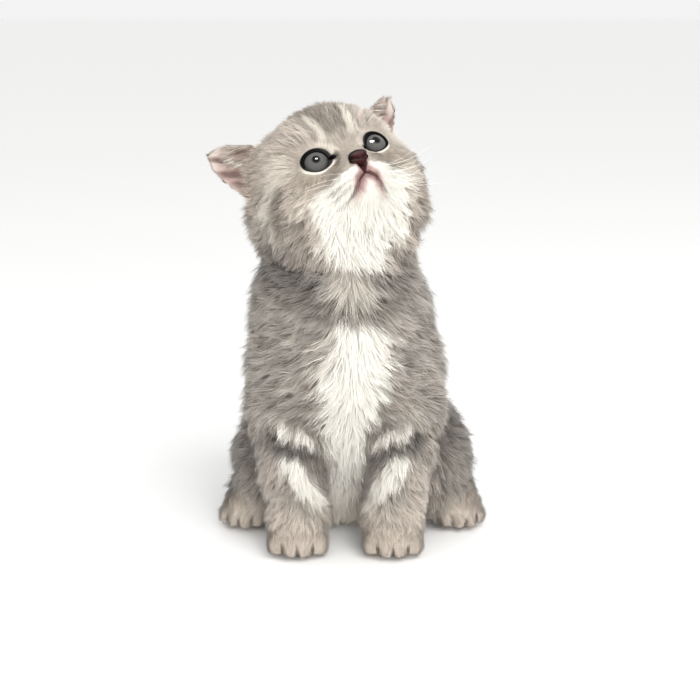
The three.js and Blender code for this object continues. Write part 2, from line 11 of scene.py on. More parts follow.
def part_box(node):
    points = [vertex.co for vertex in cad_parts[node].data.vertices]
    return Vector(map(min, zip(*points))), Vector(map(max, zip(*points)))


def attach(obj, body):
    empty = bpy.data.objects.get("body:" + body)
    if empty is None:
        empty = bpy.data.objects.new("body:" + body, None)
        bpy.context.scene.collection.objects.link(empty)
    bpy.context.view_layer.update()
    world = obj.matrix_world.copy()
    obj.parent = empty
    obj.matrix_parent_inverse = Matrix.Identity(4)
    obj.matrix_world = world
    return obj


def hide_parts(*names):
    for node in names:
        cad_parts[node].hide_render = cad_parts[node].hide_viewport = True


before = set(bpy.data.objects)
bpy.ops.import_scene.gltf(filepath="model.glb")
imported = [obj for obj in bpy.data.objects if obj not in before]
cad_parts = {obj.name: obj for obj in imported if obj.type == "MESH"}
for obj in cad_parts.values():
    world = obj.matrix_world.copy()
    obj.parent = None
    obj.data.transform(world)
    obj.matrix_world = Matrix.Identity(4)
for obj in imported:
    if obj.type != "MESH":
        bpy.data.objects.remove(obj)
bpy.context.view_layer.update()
random = np.random.default_rng(7)

# Shapes are worked out in millimetres, in the frame of the pose, and the head's in its own frame:
# x to the kitten's left, y back, z up, from the middle of the skull.
headPose = {"centre": (-3.5, -7, 152), "yaw": 15.7, "pitch": -34.9, "roll": -15.6}
eye = {
    "at": (12.4, -18.7, 3), "radius": 7.2, "width": 12.4, "height": 10.7, "tilt": 14, "outward": 10,
    "lowLid": {1: 0.7, -1: 0.84}, "pinch": 0.16,  # how much flatter it is below, and at its inner corner
    "crease": [(0, 0, 0), (0.8, -1.6, -0.3), (1.35, -2.55, -0.75)],  # from the inner corner to the nose
}


def turned(axis, angle):
    return np.array(Matrix.Rotation(math.radians(angle), 3, axis))


headTurn = turned("Z", headPose["yaw"]) @ turned("X", headPose["pitch"]) @ turned("Y", headPose["roll"])
headCentre = np.array(headPose["centre"], float)


def fromHead(points):
    return np.asarray(points, float) @ headTurn.T + headCentre


def toHead(points):
    return (np.asarray(points, float) - headCentre) @ headTurn


lowEye, highEye = (np.array(corner) * 1000 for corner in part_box("eye_left"))
poseShift = (lowEye + highEye) / 2 - fromHead(eye["at"])


def toMetres(points):
    return (np.asarray(points, float) + poseShift) / 1000


def toPose(points):
    return np.asarray(points, float) * 1000 - poseShift


def unit(vectors):
    return vectors / np.maximum(np.linalg.norm(vectors, axis=-1, keepdims=True), 1e-9)


def ramp(low, high, values):
    t = np.clip((values - low) / (high - low), 0, 1)
    return t * t * (3 - 2 * t)


def mix(a, b, share):
    return a + (b - a) * share


# A soft, even unevenness from -1 to 1, about as coarse as size
def ripple(points, size, seed):
    draw = np.random.default_rng(seed)
    waves = unit(draw.normal(size=(9, 3))) * 2 * math.pi / (size * draw.uniform(0.7, 1.6, (9, 1)))
    return np.sin(points @ waves.T + draw.uniform(0, 6.3, 9)).mean(1) * 2.2


def linear(code):
    parts = [int(code[i:i + 2], 16) / 255 for i in (1, 3, 5)]
    return np.array([c / 12.92 if c <= 0.04045 else ((c + 0.055) / 1.055) ** 2.4 for c in parts])


# How far each point is from a line of points, and how far along the line the nearest place is
def nearLine(points, line):
    line = np.asarray(line, float)
    best = np.full(len(points), 1e9)
    along = np.zeros(len(points))
    for n, (a, b) in enumerate(zip(line[:-1], line[1:])):
        t = np.clip((points - a) @ (b - a) / max(float((b - a) @ (b - a)), 1e-9), 0, 1)
        off = np.linalg.norm(points - a - t[:, None] * (b - a), axis=1)
        closer = off < best
        best[closer] = off[closer]
        along[closer] = (n + t[closer]) / (len(line) - 1)
    return best, along


# The eye's opening: its own directions across, up and out, seen from the middle of the eyeball
def sightOf(side):
    return (turned("Z", side * eye["outward"]) @ turned("X", 90) @ turned("Z", side * eye["tilt"])).T


def eyeCentre(side):
    return np.array([side * eye["at"][0], *eye["at"][1:]], float)


# 1 on the edge of the opening, less inside it; and the distance from the middle of the eyeball
def openness(headPoints, side):
    off = headPoints - eyeCentre(side)
    across, up, out = sightOf(side) @ off.T
    inner = -side * across / (eye["width"] / 2)
    tall = eye["height"] / 2 * (1 - eye["pinch"] * np.clip(inner, 0, 1) ** 2)
    tall = tall * np.where(up < 0, eye["lowLid"][side], 1)
    measure = np.sqrt((across / (eye["width"] / 2)) ** 2 + (up / tall) ** 2)
    return np.where(out > 0, measure, 9), np.linalg.norm(off, axis=1)


# A point over the eyeball: how far round the opening, how near its edge, and how far from the ball's middle
def onEye(side, turn, near, radius):
    inner = max(0.0, math.cos(turn))
    across = -side * math.cos(turn) * eye["width"] / 2 * near
    up = math.sin(turn) * eye["height"] / 2 * (1 - eye["pinch"] * inner ** 2) * near
    up *= eye["lowLid"][side] if up < 0 else 1
    depth = math.sqrt(max(radius ** 2 - across ** 2 - up ** 2, 0.5))
    return eyeCentre(side) + sightOf(side).T @ np.array([across, up, depth])


# The dark crease from the inner corner of the eye towards the nose
def innerCorner(side):
    start = onEye(side, 0.15, 0.95, eye["radius"] + 0.7)
    return start + np.array(eye["crease"]) * np.array([-side, 1, 1])


# The skin: one closed surface under the coat, made from all the solids of flesh
skin = {
    "cell": 0.95, "smoothing": 14,  # mm between corners; rounds
    "lay": 0.38, "noseDepth": 1.3,  # its depth under the coat: per length of hair, and on the nose
    "mouthZone": ((0, -24, -11), (14.5, 12, 11)), "eyeZone": 11.5, "rounds": 2,  # where it is cut finer
    "socket": 0.7, "sole": 0.25,
}
fleshNodes = [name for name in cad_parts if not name.startswith("eye") and name != "nose"]
sourceNodes = fleshNodes + ["nose"]


def meshFrom(name, points, faces):
    mesh = bpy.data.meshes.new(name)
    mesh.from_pydata([tuple(p) for p in toMetres(points)], [], faces)
    mesh.update()
    return mesh


def pieceOf(name, mesh):
    piece = bpy.data.objects.new(name, mesh)
    bpy.context.scene.collection.objects.link(piece)
    return piece


def plainMesh(piece):
    graph = bpy.context.evaluated_depsgraph_get()
    mesh = bpy.data.meshes.new_from_object(piece.evaluated_get(graph))
    piece.modifiers.clear()
    old = piece.data
    piece.data = mesh
    bpy.data.meshes.remove(old)
    return piece


def arraysOf(mesh):
    points = np.zeros(len(mesh.vertices) * 3)
    mesh.vertices.foreach_get("co", points)
    mesh.calc_loop_triangles()
    triangles = np.zeros(len(mesh.loop_triangles) * 3, np.int32)
    mesh.loop_triangles.foreach_get("vertices", triangles)
    edges = np.zeros(len(mesh.edges) * 2, np.int32)
    mesh.edges.foreach_get("vertices", edges)
    return toPose(points.reshape(-1, 3)), triangles.reshape(-1, 3), edges.reshape(-1, 2)


def spread(values, edges, rounds, share=0.5):
    values = np.array(values, float)
    flat = values.ndim == 1
    values = values[:, None] if flat else values
    count = np.maximum(np.bincount(edges.ravel(), minlength=len(values)), 1)[:, None]
    for _ in range(rounds):
        total = np.stack([
            np.bincount(edges[:, 0], values[edges[:, 1], k], len(values))
            + np.bincount(edges[:, 1], values[edges[:, 0], k], len(values))
            for k in range(values.shape[1])
        ], 1)
        values = values + share * (total / count - values)
    return values[:, 0] if flat else values


def normalsOf(points, triangles):
    a, b, c = (points[triangles[:, k]] for k in range(3))
    faces = np.cross(b - a, c - a)
    total = np.zeros_like(points)
    for k in range(3):
        for axis in range(3):
            total[:, axis] += np.bincount(triangles[:, k], faces[:, axis], len(points))
    return unit(total)


def remeshed(name, source, cell):
    piece = pieceOf(name, source)
    grid = piece.modifiers.new("grid", "REMESH")
    grid.mode = "VOXEL"
    grid.voxel_size = cell / 1000
    return plainMesh(piece)


# The solids as one mesh, with the node of each triangle, and a ball in each eye socket to close it
def sourceOfSkin():
    joined = bmesh.new()
    nodeOfFace = []
    for index, name in enumerate(sourceNodes):
        joined.from_mesh(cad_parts[name].data)
        nodeOfFace += [index] * (len(joined.faces) - len(nodeOfFace))
    tree = BVHTree.FromBMesh(joined)
    bmesh.ops.remove_doubles(joined, verts=joined.verts, dist=1e-5)
    for side in (-1, 1):
        ball = Matrix.Translation(Vector(toMetres(fromHead(eyeCentre(side)))))
        bmesh.ops.create_icosphere(joined, subdivisions=4, radius=(eye["radius"] + skin["socket"]) / 1000,
                                  matrix=ball)
    mesh = bpy.data.meshes.new("skinSource")
    joined.to_mesh(mesh)
    joined.free()
    return mesh, tree, nodeOfFace


# Cuts the faces round the eyes and the mouth into smaller ones
def refined(piece, rounds):
    work = bmesh.new()
    work.from_mesh(piece.data)
    middle, half = (np.array(value) for value in skin["mouthZone"])
    for _ in range(rounds):
        local = toHead(toPose([vert.co for vert in work.verts]))
        inZone = (np.abs(local - middle) < half).all(1)
        for side in (-1, 1):
            inZone |= np.linalg.norm(local - eyeCentre(side), axis=1) < skin["eyeZone"]
        work.verts.ensure_lookup_table()
        chosen = [edge for edge in work.edges if inZone[edge.verts[0].index] and inZone[edge.verts[1].index]]
        bmesh.ops.subdivide_edges(work, edges=chosen, cuts=1, use_grid_fill=True)
        work.verts.index_update()
    bmesh.ops.triangulate(work, faces=[face for face in work.faces if len(face.verts) > 4])
    work.to_mesh(piece.data)
    work.free()


sourceMesh, sourceTree, nodeOfFace = sourceOfSkin()
skinPiece = remeshed("skin", sourceMesh, skin["cell"])
points, triangles, edges = arraysOf(skinPiece.data)
for _ in range(skin["smoothing"]):
    points = spread(points, edges, 1, 0.5)
    points = spread(points, edges, 1, -0.52)
skinPiece.data.vertices.foreach_set("co", toMetres(points).ravel())
refined(skinPiece, skin["rounds"])
points, triangles, edges = arraysOf(skinPiece.data)
nearest = [nodeOfFace[sourceTree.find_nearest(Vector(p))[2]] for p in toMetres(points)]
weights = np.zeros((len(points), len(sourceNodes)))
weights[np.arange(len(points)), nearest] = 1
points = spread(points, edges, 2)
print("skin laid out:", len(points), "corners")


# How much of each point belongs to the nodes whose names start so
def share(weights, *starts):
    columns = [i for i, name in enumerate(sourceNodes) if name.startswith(starts)]
    return weights[:, columns].sum(1)


# The coat: its length and its lie all over the body
coat = {
    "hairs": 262000, "longShare": 0.3, "clumpSize": 13, "rootLift": 33, "tipLift": 9,
    "lengths": {"neck": 10.5, "torso": 10.5, "foreleg": 7.0, "forepaw": 4.4, "thigh": 9.5,
                "hindfoot": 4.8, "tail": 8.5, "ear": 2.2, "nose": 0.6},
    "headLengths": ([4, 9, 16, 26, 38, 50], [1.3, 2.4, 3.8, 5.4, 7.0, 8.2]),  # by the way from the nose
    "crown": 5.4, "cheek": 9.5, "inEar": (2.6, 8.5),
    "densities": ([1, 2.5, 5, 8, 11], [8.5, 7, 5.2, 4, 3.4]),  # hairs to the square mm, by length
    "widths": ([1, 3, 6, 10, 13], [0.17, 0.2, 0.26, 0.31, 0.34]),  # thickness in mm, by length
    "bare": {"eye": 1.07, "crease": 1.1, "lip": 0.55, "lipHalf": 5.5, "floor": 1.2},  # no roots there
    "clear": {"eye": 1.05, "front": 13, "crease": 1.0},  # and no tips there
}
noseTip = np.array([0, -33, -4.0])
tailPath = [(4, 58, 15), (5, 80, 8.2), (-3, 95, 7.4), (-20, 101, 6.8), (-37, 95, 6.2), (-45, 82, 5.4)]
hindfoot = {"heel": (34, 38, 9), "ball": (46.5, -1, 9.4), "shift": 3}
ear = {"at": (25.5, 3, 14.5), "back": 6, "lean": {1: 41, -1: 45}, "open": {1: 42, -1: 32}}


def earTurn(side):
    lean, opened = side * ear["lean"][side], side * ear["open"][side]
    return turned("Y", lean) @ turned("X", -ear["back"]) @ turned("Z", opened)


def toEar(headPoints, side):
    return (headPoints - np.array([side * ear["at"][0], *ear["at"][1:]])) @ earTurn(side)


# How far inside an open ear a point is, and how near the edge beside the crown it is
def earInside(local, inward, side):
    own = toEar(local, side)
    return inward * ramp(-0.15, 0.3, -side * own[:, 0] / 13) * ramp(21, 13, own[:, 2])


# Hair length in mm, shortest round the nose and the eyes and longest under the cheeks and on the chest
def hairLength(at, parts, inward):
    local = toHead(at)
    off = np.linalg.norm(local - noseTip, axis=1)
    length = np.interp(off, *coat["headLengths"])
    length = mix(length, np.minimum(length, coat["crown"]), ramp(2, 14, local[:, 2]))
    length = mix(length, coat["cheek"], ramp(-10, -26, local[:, 2]) * ramp(16, 30, off))
    for side in (-1, 1):
        opened, _ = openness(local, side)
        length *= 0.5 + 0.5 * ramp(1.0, 1.7, opened)
    total = length * share(parts, "head")
    for name, value in coat["lengths"].items():
        total += value * share(parts, name)
    total *= 1 - 0.45 * share(parts, "forepaw", "hindfoot") * ramp(11, 4, at[:, 2])
    for side, name in ((1, "ear_left"), (-1, "ear_right")):
        inside = mix(*coat["inEar"], earInside(local, inward, side))
        total += (inside - coat["lengths"]["ear"]) * inward * share(parts, name)
    return total


# The way the hair points along the skin
def hairLie(at, normal, parts, inward):
    local = toHead(at)
    fromNose = unit(local - noseTip + np.array([0, 0, -2]))
    for side in (-1, 1):
        out = local - eyeCentre(side)
        off = np.linalg.norm(out, axis=1, keepdims=True)
        fromNose = unit(mix(fromNose, unit(out), 0.75 * ramp(15, 8.5, off)))
    headWay = fromNose @ headTurn.T

    side = np.clip((at[:, 0] - 3) / 20, -1, 1)
    front = ramp(-0.15, 0.5, -normal[:, 1])
    chestWay = np.stack([1.7 * side, np.full(len(at), 0.1), -0.75 + 0.1 * np.abs(side)], 1)
    flankWay = np.stack([0.15 * side, np.full(len(at), 0.6), np.full(len(at), -0.8)], 1)
    torsoWay = mix(flankWay, chestWay, front[:, None])
    low = ramp(62, 48, at[:, 2])[:, None]
    torsoWay = mix(torsoWay, np.array([0, 0.1, -1.0]), low)

    outward = np.sign(at[:, 0])
    legWay = np.stack([0.3 * outward, np.full(len(at), 0.15), np.full(len(at), -1.0)], 1)
    thighWay = np.stack([0.3 * outward, np.full(len(at), 0.35), np.full(len(at), -0.85)], 1)
    pawWay = np.broadcast_to([0, -1, -0.35], at.shape)
    heel, ball = (np.array(hindfoot[k]) for k in ("heel", "ball"))
    footWay = (ball - heel) * np.array([1, 1, 0]) - np.array([0, 0, 8])
    footWay = np.stack([outward * footWay[0], np.full(len(at), footWay[1]), np.full(len(at), footWay[2])], 1)
    line = np.array(tailPath, float)
    _, along = nearLine(at, line)
    step = np.minimum((along * (len(line) - 1)).astype(int), len(line) - 2)
    tailWay = line[step + 1] - line[step]

    ways = [("head", headWay), ("nose", headWay), ("neck", torsoWay), ("torso", torsoWay),
            ("foreleg", legWay), ("forepaw", pawWay), ("thigh", thighWay), ("hindfoot", footWay),
            ("tail", tailWay)]
    total = sum(unit(way) * share(parts, name)[:, None] for name, way in ways)
    for side, name in ((1, "ear_left"), (-1, "ear_right")):
        across = mix(0, 0.9, earInside(local, inward, side))[:, None] * np.array([side, -0.35, 0])
        way = unit(across + np.array([0, 0, 1.0])) @ (headTurn @ earTurn(side)).T
        total = total + way * share(parts, name)[:, None]
    total = total - normal * (total * normal).sum(1, keepdims=True)
    return unit(total)


# The markings, the same for the skin and the coat
shades = {name: linear(code) for name, code in {
    "beige": "#CFC2B4", "forehead": "#DCCFC2", "crown": "#978B7D", "stripe": "#8A7D70", "tan": "#B8AA97",
    "cream": "#F2EADC", "white": "#FFFCF2", "pink": "#BF8C88", "lipLine": "#4A2322",
    "lipCreaseShadow": "#8E827A", "lidLine": "#140E0B", "silver": "#B1A79C", "grey": "#968D84",
    "dark": "#6D655D", "collar": "#6F665C", "night": "#4E473F", "paw": "#DCCFC1", "pawTop": "#C6B8A9",
    "slit": "#54463C", "earSkin": "#D6CABF", "earMid": "#A88F86", "earDeep": "#675049",
    "earBack": "#C9BFB1", "earTip": "#77706A",
}.items()}

# Each mark is a line, its half width, its shade and its strength. One on the head lies in the head's
# own frame and has a side too: 1 or -1, or 0 for the same mark on both sides.
headMarks = [
    ([(-16, -22, 16), (-22, -15, 20), (-27, -4, 20)], 8, "forehead", 0.6, 0),
    ([(-27, -16, 8), (-33, -6, 4), (-34, 4, -4)], 6, "cream", 0.7, 0),
    ([(-30, -11, 3), (-34, -3, -4), (-35, 2, -12)], 4, "cream", 0.5, 0),
    ([(-2.5, -26, 18), (-2.5, -24, 22.5), (-2, -17, 29), (0, -8, 32), (0, 12, 27), (0, 24, 14)],
     5.2, "crown", 0.9, 0),
    ([(-7, -22, 24), (-9, -10, 30), (-9, 6, 28)], 3.6, "crown", 0.65, 0),
    ([(0.4, -28, 12), (0, -28.5, 8.5)], 1.2, "crown", 0.5, 0),
    ([(-10.6, -25.6, 12.4), (-10, -24, 18), (-11, -20, 25)], 1.2, "crown", 0.45, 0),
    ([(-14.5, -24, 12.5), (-17, -20, 19)], 1.0, "crown", 0.4, 0),
    ([(-7.5, -26.6, 12), (-7.2, -25.6, 17), (-8.5, -21, 25)], 1.6, "cream", 0.8, 0),
    ([(-5.6, -28, 3.5), (-7.2, -28, 7.0), (-10.5, -26.6, 10.4)], 1.5, "cream", 0.8, 0),
    # painted shade, brown, in the crease between the right eye and the nose
    ([(-6.1, -28.6, 3.0), (-6.2, -28.6, 0.4), (-7.6, -28.2, -1.8)], 1.2, "stripe", 0.8, -1),
    ([(5, -27.2, 11), (6.1, -26.6, 14.3), (7.5, -23.5, 19)], 1.8, "cream", 0.75, 1),
    ([(-9, -28, -4.6), (-17, -25.5, -5), (-25, -21, -5)], 3.3, "tan", 0.42, 0),
    ([(-24, -20, -10), (-28, -16, -12)], 2.6, "cream", 0.35, 0),
    ([(-31, -14, -2), (-33, -11.9, -5), (-34.5, -7, -15), (-31, -0.6, -27)],
     3.3, "stripe", 0.9, 0),
    ([(-29, -13, -17), (-28, -8, -25), (-24, -4, -31)], 3.5, "stripe", 0.75, 0),
    ([(-33, 4, -8), (-33, 8, -18), (-28, 14, -26)], 5.5, "grey", 0.65, 0),
]
whiskerRows = [  # the dark roots on the right pad, as x and z on the face
    [(-4.5, 0, -8.0), (-12.5, 0, -9.0)],
    [(-5, 0, -10.2), (-13.5, 0, -11.6)],
    [(-6.5, 0, -12.4), (-13, 0, -14.2)],
]
bodyMarks = [
    # the first two, under each cheek: the dark of the necklace and painted shade under the chin
    ([(-36, -4, 122), (-27, -26, 120), (-14, -35, 117)], 6, "night", 1.0),
    ([(35, -4, 124), (25, -22, 121), (13, -32, 119)], 5, "night", 0.7),
    ([(-31, -20, 114), (-19, -35, 109), (0, -40, 103.5), (12, -38, 106), (27, -28, 113)],
     4.4, "collar", 0.9),
    ([(-34, -14, 96), (-24, -31, 93)], 3, "grey", 0.6),
    ([(-35, -14, 84), (-24, -32, 81)], 3, "dark", 0.4),
    ([(34, -14, 98), (26, -28, 95)], 3, "grey", 0.6),
    ([(35, -14, 86), (24, -32, 83)], 3, "dark", 0.4),
]
legMarks = [  # on the right foreleg, and the same on the left one
    # painted shadow where the foreleg meets the chest
    ([(-16, -28, 63), (-11, -27, 53), (-8, -25, 44)], 3.0, "night", 0.85),
    ([(-33, -31, 50), (-24, -34, 44), (-11, -27, 41)], 3.0, "night", 0.95),
    ([(-29, -31, 55.6), (-20, -31, 54.0)], 1.2, "dark", 0.6),
    ([(-30, -30, 60), (-23, -31, 59), (-17, -30, 56)], 2.4, "cream", 0.9),
    ([(-26, -31.6, 53), (-20, -31.5, 50.5), (-14, -29.5, 46.5)], 2.5, "white", 0.95),
    ([(-23, -36, 38.5), (-15.5, -37, 30), (-9, -33, 20)], 4.4, "white", 0.9),
]
whiteHalf = ([-44, -40, -35, -30, -20, -12, -10, -8, -6.5, -5],  # half the width of the white on the face
             [2, 9, 16, 20, 21.5, 21.5, 18, 9, 2, -4])  # by its height there
blaze = {  # its middle and its half width, by the height over the floor
    "middle": ([30, 52, 68, 79, 90, 101], [-0.5, 0, 2.5, 4.4, 6, 4.7]),
    "half": ([20, 40, 52, 68, 79, 90, 100, 104], [8, 9, 10.5, 13.5, 13, 13.5, 9, 4]),
}


def painted(colour, shade, strength):
    return mix(colour, shades[shade], np.clip(strength, 0, 1)[:, None])


def soft(off, half):
    return ramp(1.6 * half, 0.55 * half, off)


def headColour(local, fine):
    colour = np.tile(shades["beige"], (len(local), 1))
    right = np.stack([-np.abs(local[:, 0]), local[:, 1], local[:, 2]], 1)
    for line, half, shade, strength, side in headMarks:
        off, _ = nearLine(right if side == 0 else local, line)
        colour = painted(colour, shade, strength * soft(off + 0.22 * half * fine, half))
    # the white of the muzzle, chin, cheeks and throat, less of it low on the left
    x, y, z = local.T
    reach = np.interp(z, *whiteHalf)
    reach = reach - 4 * ramp(0, 10, x) * ramp(-16, -26, z) - 9 * ramp(0, 6, x) * ramp(-29, -36, z)
    white = ramp(4.4, -3.0, np.abs(x) - reach + 3.2 * fine) * ramp(12, 2, y + 0.25 * z)
    colour = painted(colour, "white", white)
    # round each eye a dark line, and a pale one under it
    for side in (-1, 1):
        opened, _ = openness(local, side)
        height = (local - eyeCentre(side))[:, 2]
        colour = painted(colour, "cream", ramp(1.5, -2.5, height) * ramp(1.32, 1.2, opened))
        rim = 1.01 + 0.08 * ramp(0, 4, height)
        off, _ = nearLine(local, innerCorner(side))
        colour = painted(colour, "lidLine", np.maximum(ramp(rim + 0.06, rim, opened), soft(off, 1.15)))
    # the lips: dark at the line near the middle, pink beside it, and the painted shadow of a faint crease
    # towards the corners
    off, _ = nearLine(local, mouthLine)
    aside = np.abs(x - mouth["fork"][0])
    middle = ramp(6.5, 2.5, aside)
    colour = painted(colour, "pink", 0.9 * ramp(9, 4, aside) * ramp(4.6, 0.6, off + 0.8 * fine))
    colour = painted(colour, "lipCreaseShadow", 0.65 * (1 - middle) * ramp(1.2, 0.3, off))
    half = np.interp(z, [-10.2, -9.4, -6.8], [0.3, 0.6, 2.2])
    wedge = ramp(half + 0.5, half - 0.3, np.abs(x - 0.6)) * ramp(-10.4, -9.6, z) * ramp(-4, -5, z)
    return painted(colour, "lipLine", np.maximum(middle * ramp(0.8, 0.35, off), wedge * (y < -25)))


def earColour(local, side, inward):
    own = toEar(local, side)
    height = own[:, 2] / 26
    colour = np.tile(shades["earBack"], (len(local), 1))
    colour = painted(colour, "earTip", 0.6 * ramp(0.9, 1.02, height))
    streak = 0.38 * np.sin(9 * np.arctan2(own[:, 0], own[:, 2] + 8) * 3 + own[:, 2] / 4)
    edge = np.abs(own[:, 0]) / np.maximum(13 - 8 * height, 4)
    inner = np.tile(shades["earSkin"], (len(local), 1))
    # inside, darker low and towards the middle: painted shade deep in the ear's hollow
    inner = painted(inner, "earMid", ramp(1.0, 0.6, height) * ramp(1.1, 0.8, edge))
    inner = painted(inner, "earDeep", ramp(0.95, 0.4, height + streak) * ramp(1.1, 0.6, edge))
    return mix(colour, inner, inward[:, None])


def torsoColour(at, normal, fine, coarse):
    colour = mix(shades["silver"], shades["grey"], (0.5 + 0.5 * coarse)[:, None])
    colour = painted(colour, "dark", 0.2 * ramp(-10, 30, at[:, 1]))
    # bars on the flanks and a dark line down the back
    bars = np.sin((at[:, 1] - 0.35 * at[:, 2]) / 2.6 + 1.4 * coarse) * ramp(22, 34, np.abs(at[:, 0] - 3))
    colour = painted(colour, "dark", 0.6 * ramp(0.0, 0.9, bars) * ramp(-20, 0, at[:, 1]))
    spine = ramp(9, 4, np.abs(at[:, 0] - 2) + 2 * fine) * ramp(0.2, 0.6, normal[:, 1])
    colour = painted(colour, "dark", 0.55 * spine)
    for line, half, shade, strength in bodyMarks:
        off, _ = nearLine(at, line)
        colour = painted(colour, shade, strength * soft(off + 0.35 * half * fine, half))
    throat = np.linalg.norm((at - np.array([2, -38, 112])) * np.array([0.75, 0.5, 1]), axis=1)
    colour = painted(colour, "cream", 0.55 * ramp(12, 4, throat + 2 * fine))
    # pale tufts beside the blaze, then the blaze from the collar down between the forelegs
    front = ramp(0.0, 0.45, -normal[:, 1])
    tufts = ramp(0.1, 0.7, ripple(at * np.array([1, 1, 1.8]), 9, 8)) * ramp(26, 14, np.abs(at[:, 0] + 6))
    colour = painted(colour, "cream", 0.6 * tufts * front * ramp(58, 66, at[:, 2]) * ramp(103, 96, at[:, 2]))
    aside = np.abs(at[:, 0] - np.interp(at[:, 2], *blaze["middle"]))
    white = ramp(3.5, -3.5, aside - np.interp(at[:, 2], *blaze["half"]) + 6.5 * fine) * front
    colour = painted(colour, "white", white * ramp(102, 97, at[:, 2] + 2 * fine))
    return painted(colour, "paw", 0.75 * ramp(30, 8, at[:, 2]) * front)


def legColour(at, normal, fine, coarse):
    side = np.sign(at[:, 0])
    colour = mix(shades["silver"], shades["grey"], (0.5 + 0.5 * coarse)[:, None])
    front = ramp(-0.2, 0.5, -normal[:, 1])
    height = at[:, 2] + 2 * fine
    colour = painted(colour, "beige", 0.6 * ramp(22, 28, side * at[:, 0]) * ramp(44, 34, height) * front)
    right = np.abs(at) * np.array([-1, 0, 1]) + at * np.array([0, 1, 0])
    for line, half, shade, strength in legMarks:
        off, _ = nearLine(right, line)
        colour = painted(colour, shade, strength * front * soft(off + 0.6 * half * fine, half))
    return painted(colour, "paw", 0.8 * ramp(27, 15, height))


def pawColour(at, fine):
    return painted(np.tile(shades["paw"], (len(at), 1)), "pawTop", ramp(8, 16, at[:, 2] + 1.5 * fine))


def tailColour(at, coarse):
    _, along = nearLine(at, tailPath)
    colour = mix(shades["silver"], shades["grey"], (0.5 + 0.5 * coarse)[:, None])
    return painted(colour, "dark", 0.7 * ramp(0.0, 0.8, np.sin(along * 38)) + 0.5 * ramp(0.86, 0.97, along))


# The toes: four to a paw, with a slit between each two
toes = {"forepaw": (20, -33, 0), "apart": 6.47, "hindScale": 0.88, "slit": (0.95, 0.35), "depth": 0.8}


# Where each paw's toes spring from, how far it is turned outwards, and its scale
def toeSlits():
    slits = []
    for side in (-1, 1):
        mirror = np.array([side, 1.0, 1.0])
        slits.append((mirror * toes["forepaw"], 0.0, 1.0))
        heel, ball = (mirror * hindfoot[k] + [hindfoot["shift"], 0, 0] for k in ("heel", "ball"))
        turn = math.atan2(ball[0] - heel[0], heel[1] - ball[1])
        slits.append((ball * [1, 1, 0], turn, toes["hindScale"]))
    return slits


def slitNearness(at):
    near = np.zeros(len(at))
    for centre, turn, scale in toeSlits():
        across = (at - centre) @ np.array([math.cos(turn), math.sin(turn), 0])
        ahead = (at - centre) @ np.array([math.sin(turn), -math.cos(turn), 0])
        off = np.min([np.abs(across - n * toes["apart"] * scale) for n in (-1, 0, 1)], axis=0)
        here = ramp(*toes["slit"], off) * ramp(5, 9, ahead) * ramp(8.5, 5.0, at[:, 2]) * ramp(22, 18, ahead)
        near = np.maximum(near, here)
    return near


def markings(at, normal, parts, inward):
    local = toHead(at)
    fine = ripple(at, 4.0, 3) * 0.6 + ripple(at, 9.0, 4) * 0.4
    coarse = ripple(at, 16.0, 5)
    torso = torsoColour(at, normal, fine, coarse)
    paws = painted(pawColour(at, fine), "grey", 0.6 * ramp(-2, 22, at[:, 1] + 4 * fine))
    # painted shade in the slits between the toes
    paws = painted(paws, "slit", 0.75 * slitNearness(at))
    nape = 0.85 * ramp(2, 24, local[:, 1] - 0.3 * local[:, 2] + 3 * fine)
    total = mix(headColour(local, fine), torso, nape[:, None]) * share(parts, "head", "nose")[:, None]
    total += torso * share(parts, "neck", "torso")[:, None]
    total += legColour(at, normal, fine, coarse) * share(parts, "foreleg_left", "foreleg_right")[:, None]
    total += paws * share(parts, "forepaw", "hindfoot")[:, None]
    # the thighs darker, more on their outer sides: partly darker fur, partly painted shade where they turn
    # from the light
    shadedThighs = painted(torso, "dark", 0.3 + 0.4 * ramp(30, 50, np.abs(at[:, 0])))
    total += shadedThighs * share(parts, "thigh")[:, None]
    total += tailColour(at, coarse) * share(parts, "tail")[:, None]
    for side, name in ((1, "ear_left"), (-1, "ear_right")):
        total += earColour(local, side, inward) * share(parts, name)[:, None]
    return total


# 1 where a point of an ear looks into its open side
def inwardOf(normal, parts):
    inward = np.zeros(len(normal))
    for side, name in ((1, "ear_left"), (-1, "ear_right")):
        openSide = headTurn @ earTurn(side) @ np.array([0, -1.0, 0])
        inward += ramp(-0.1, 0.3, normal @ openSide) * share(parts, name)
    return inward


# The skin takes its depth under the coat, the eye openings and the line of the mouth
parts = spread(weights, edges, 10)
inward = inwardOf(unit(spread(normalsOf(points, triangles), edges, 3)), parts)
length = spread(hairLength(points, parts, inward * 0), edges, 6)
outward = unit(spread(normalsOf(points, triangles), edges, 4))
depth = skin["lay"] * length * (1 - 0.75 * share(parts, "ear")) + skin["noseDepth"] * share(parts, "nose")
points = points - outward * depth[:, None]
points[:, 2] = np.maximum(points[:, 2], skin["sole"])

mouth = {  # x and z on the face: down from the nose to the fork, then on to each corner
    "stem": [(0.5, -7.2), (0.8, -8.6)], "fork": (0.9, -9.8),
    1: [(2.7, -10.7), (4.3, -12.1), (5.3, -13.7), (6.8, -15.3), (9.6, -17.8)],
    -1: [(-2.0, -11.6), (-4.4, -14.1), (-6.2, -16.0), (-10.4, -17.7), (-12.8, -18.2)],
    "steps": 15, "depth": 0.9, "half": 0.65,  # the groove
}


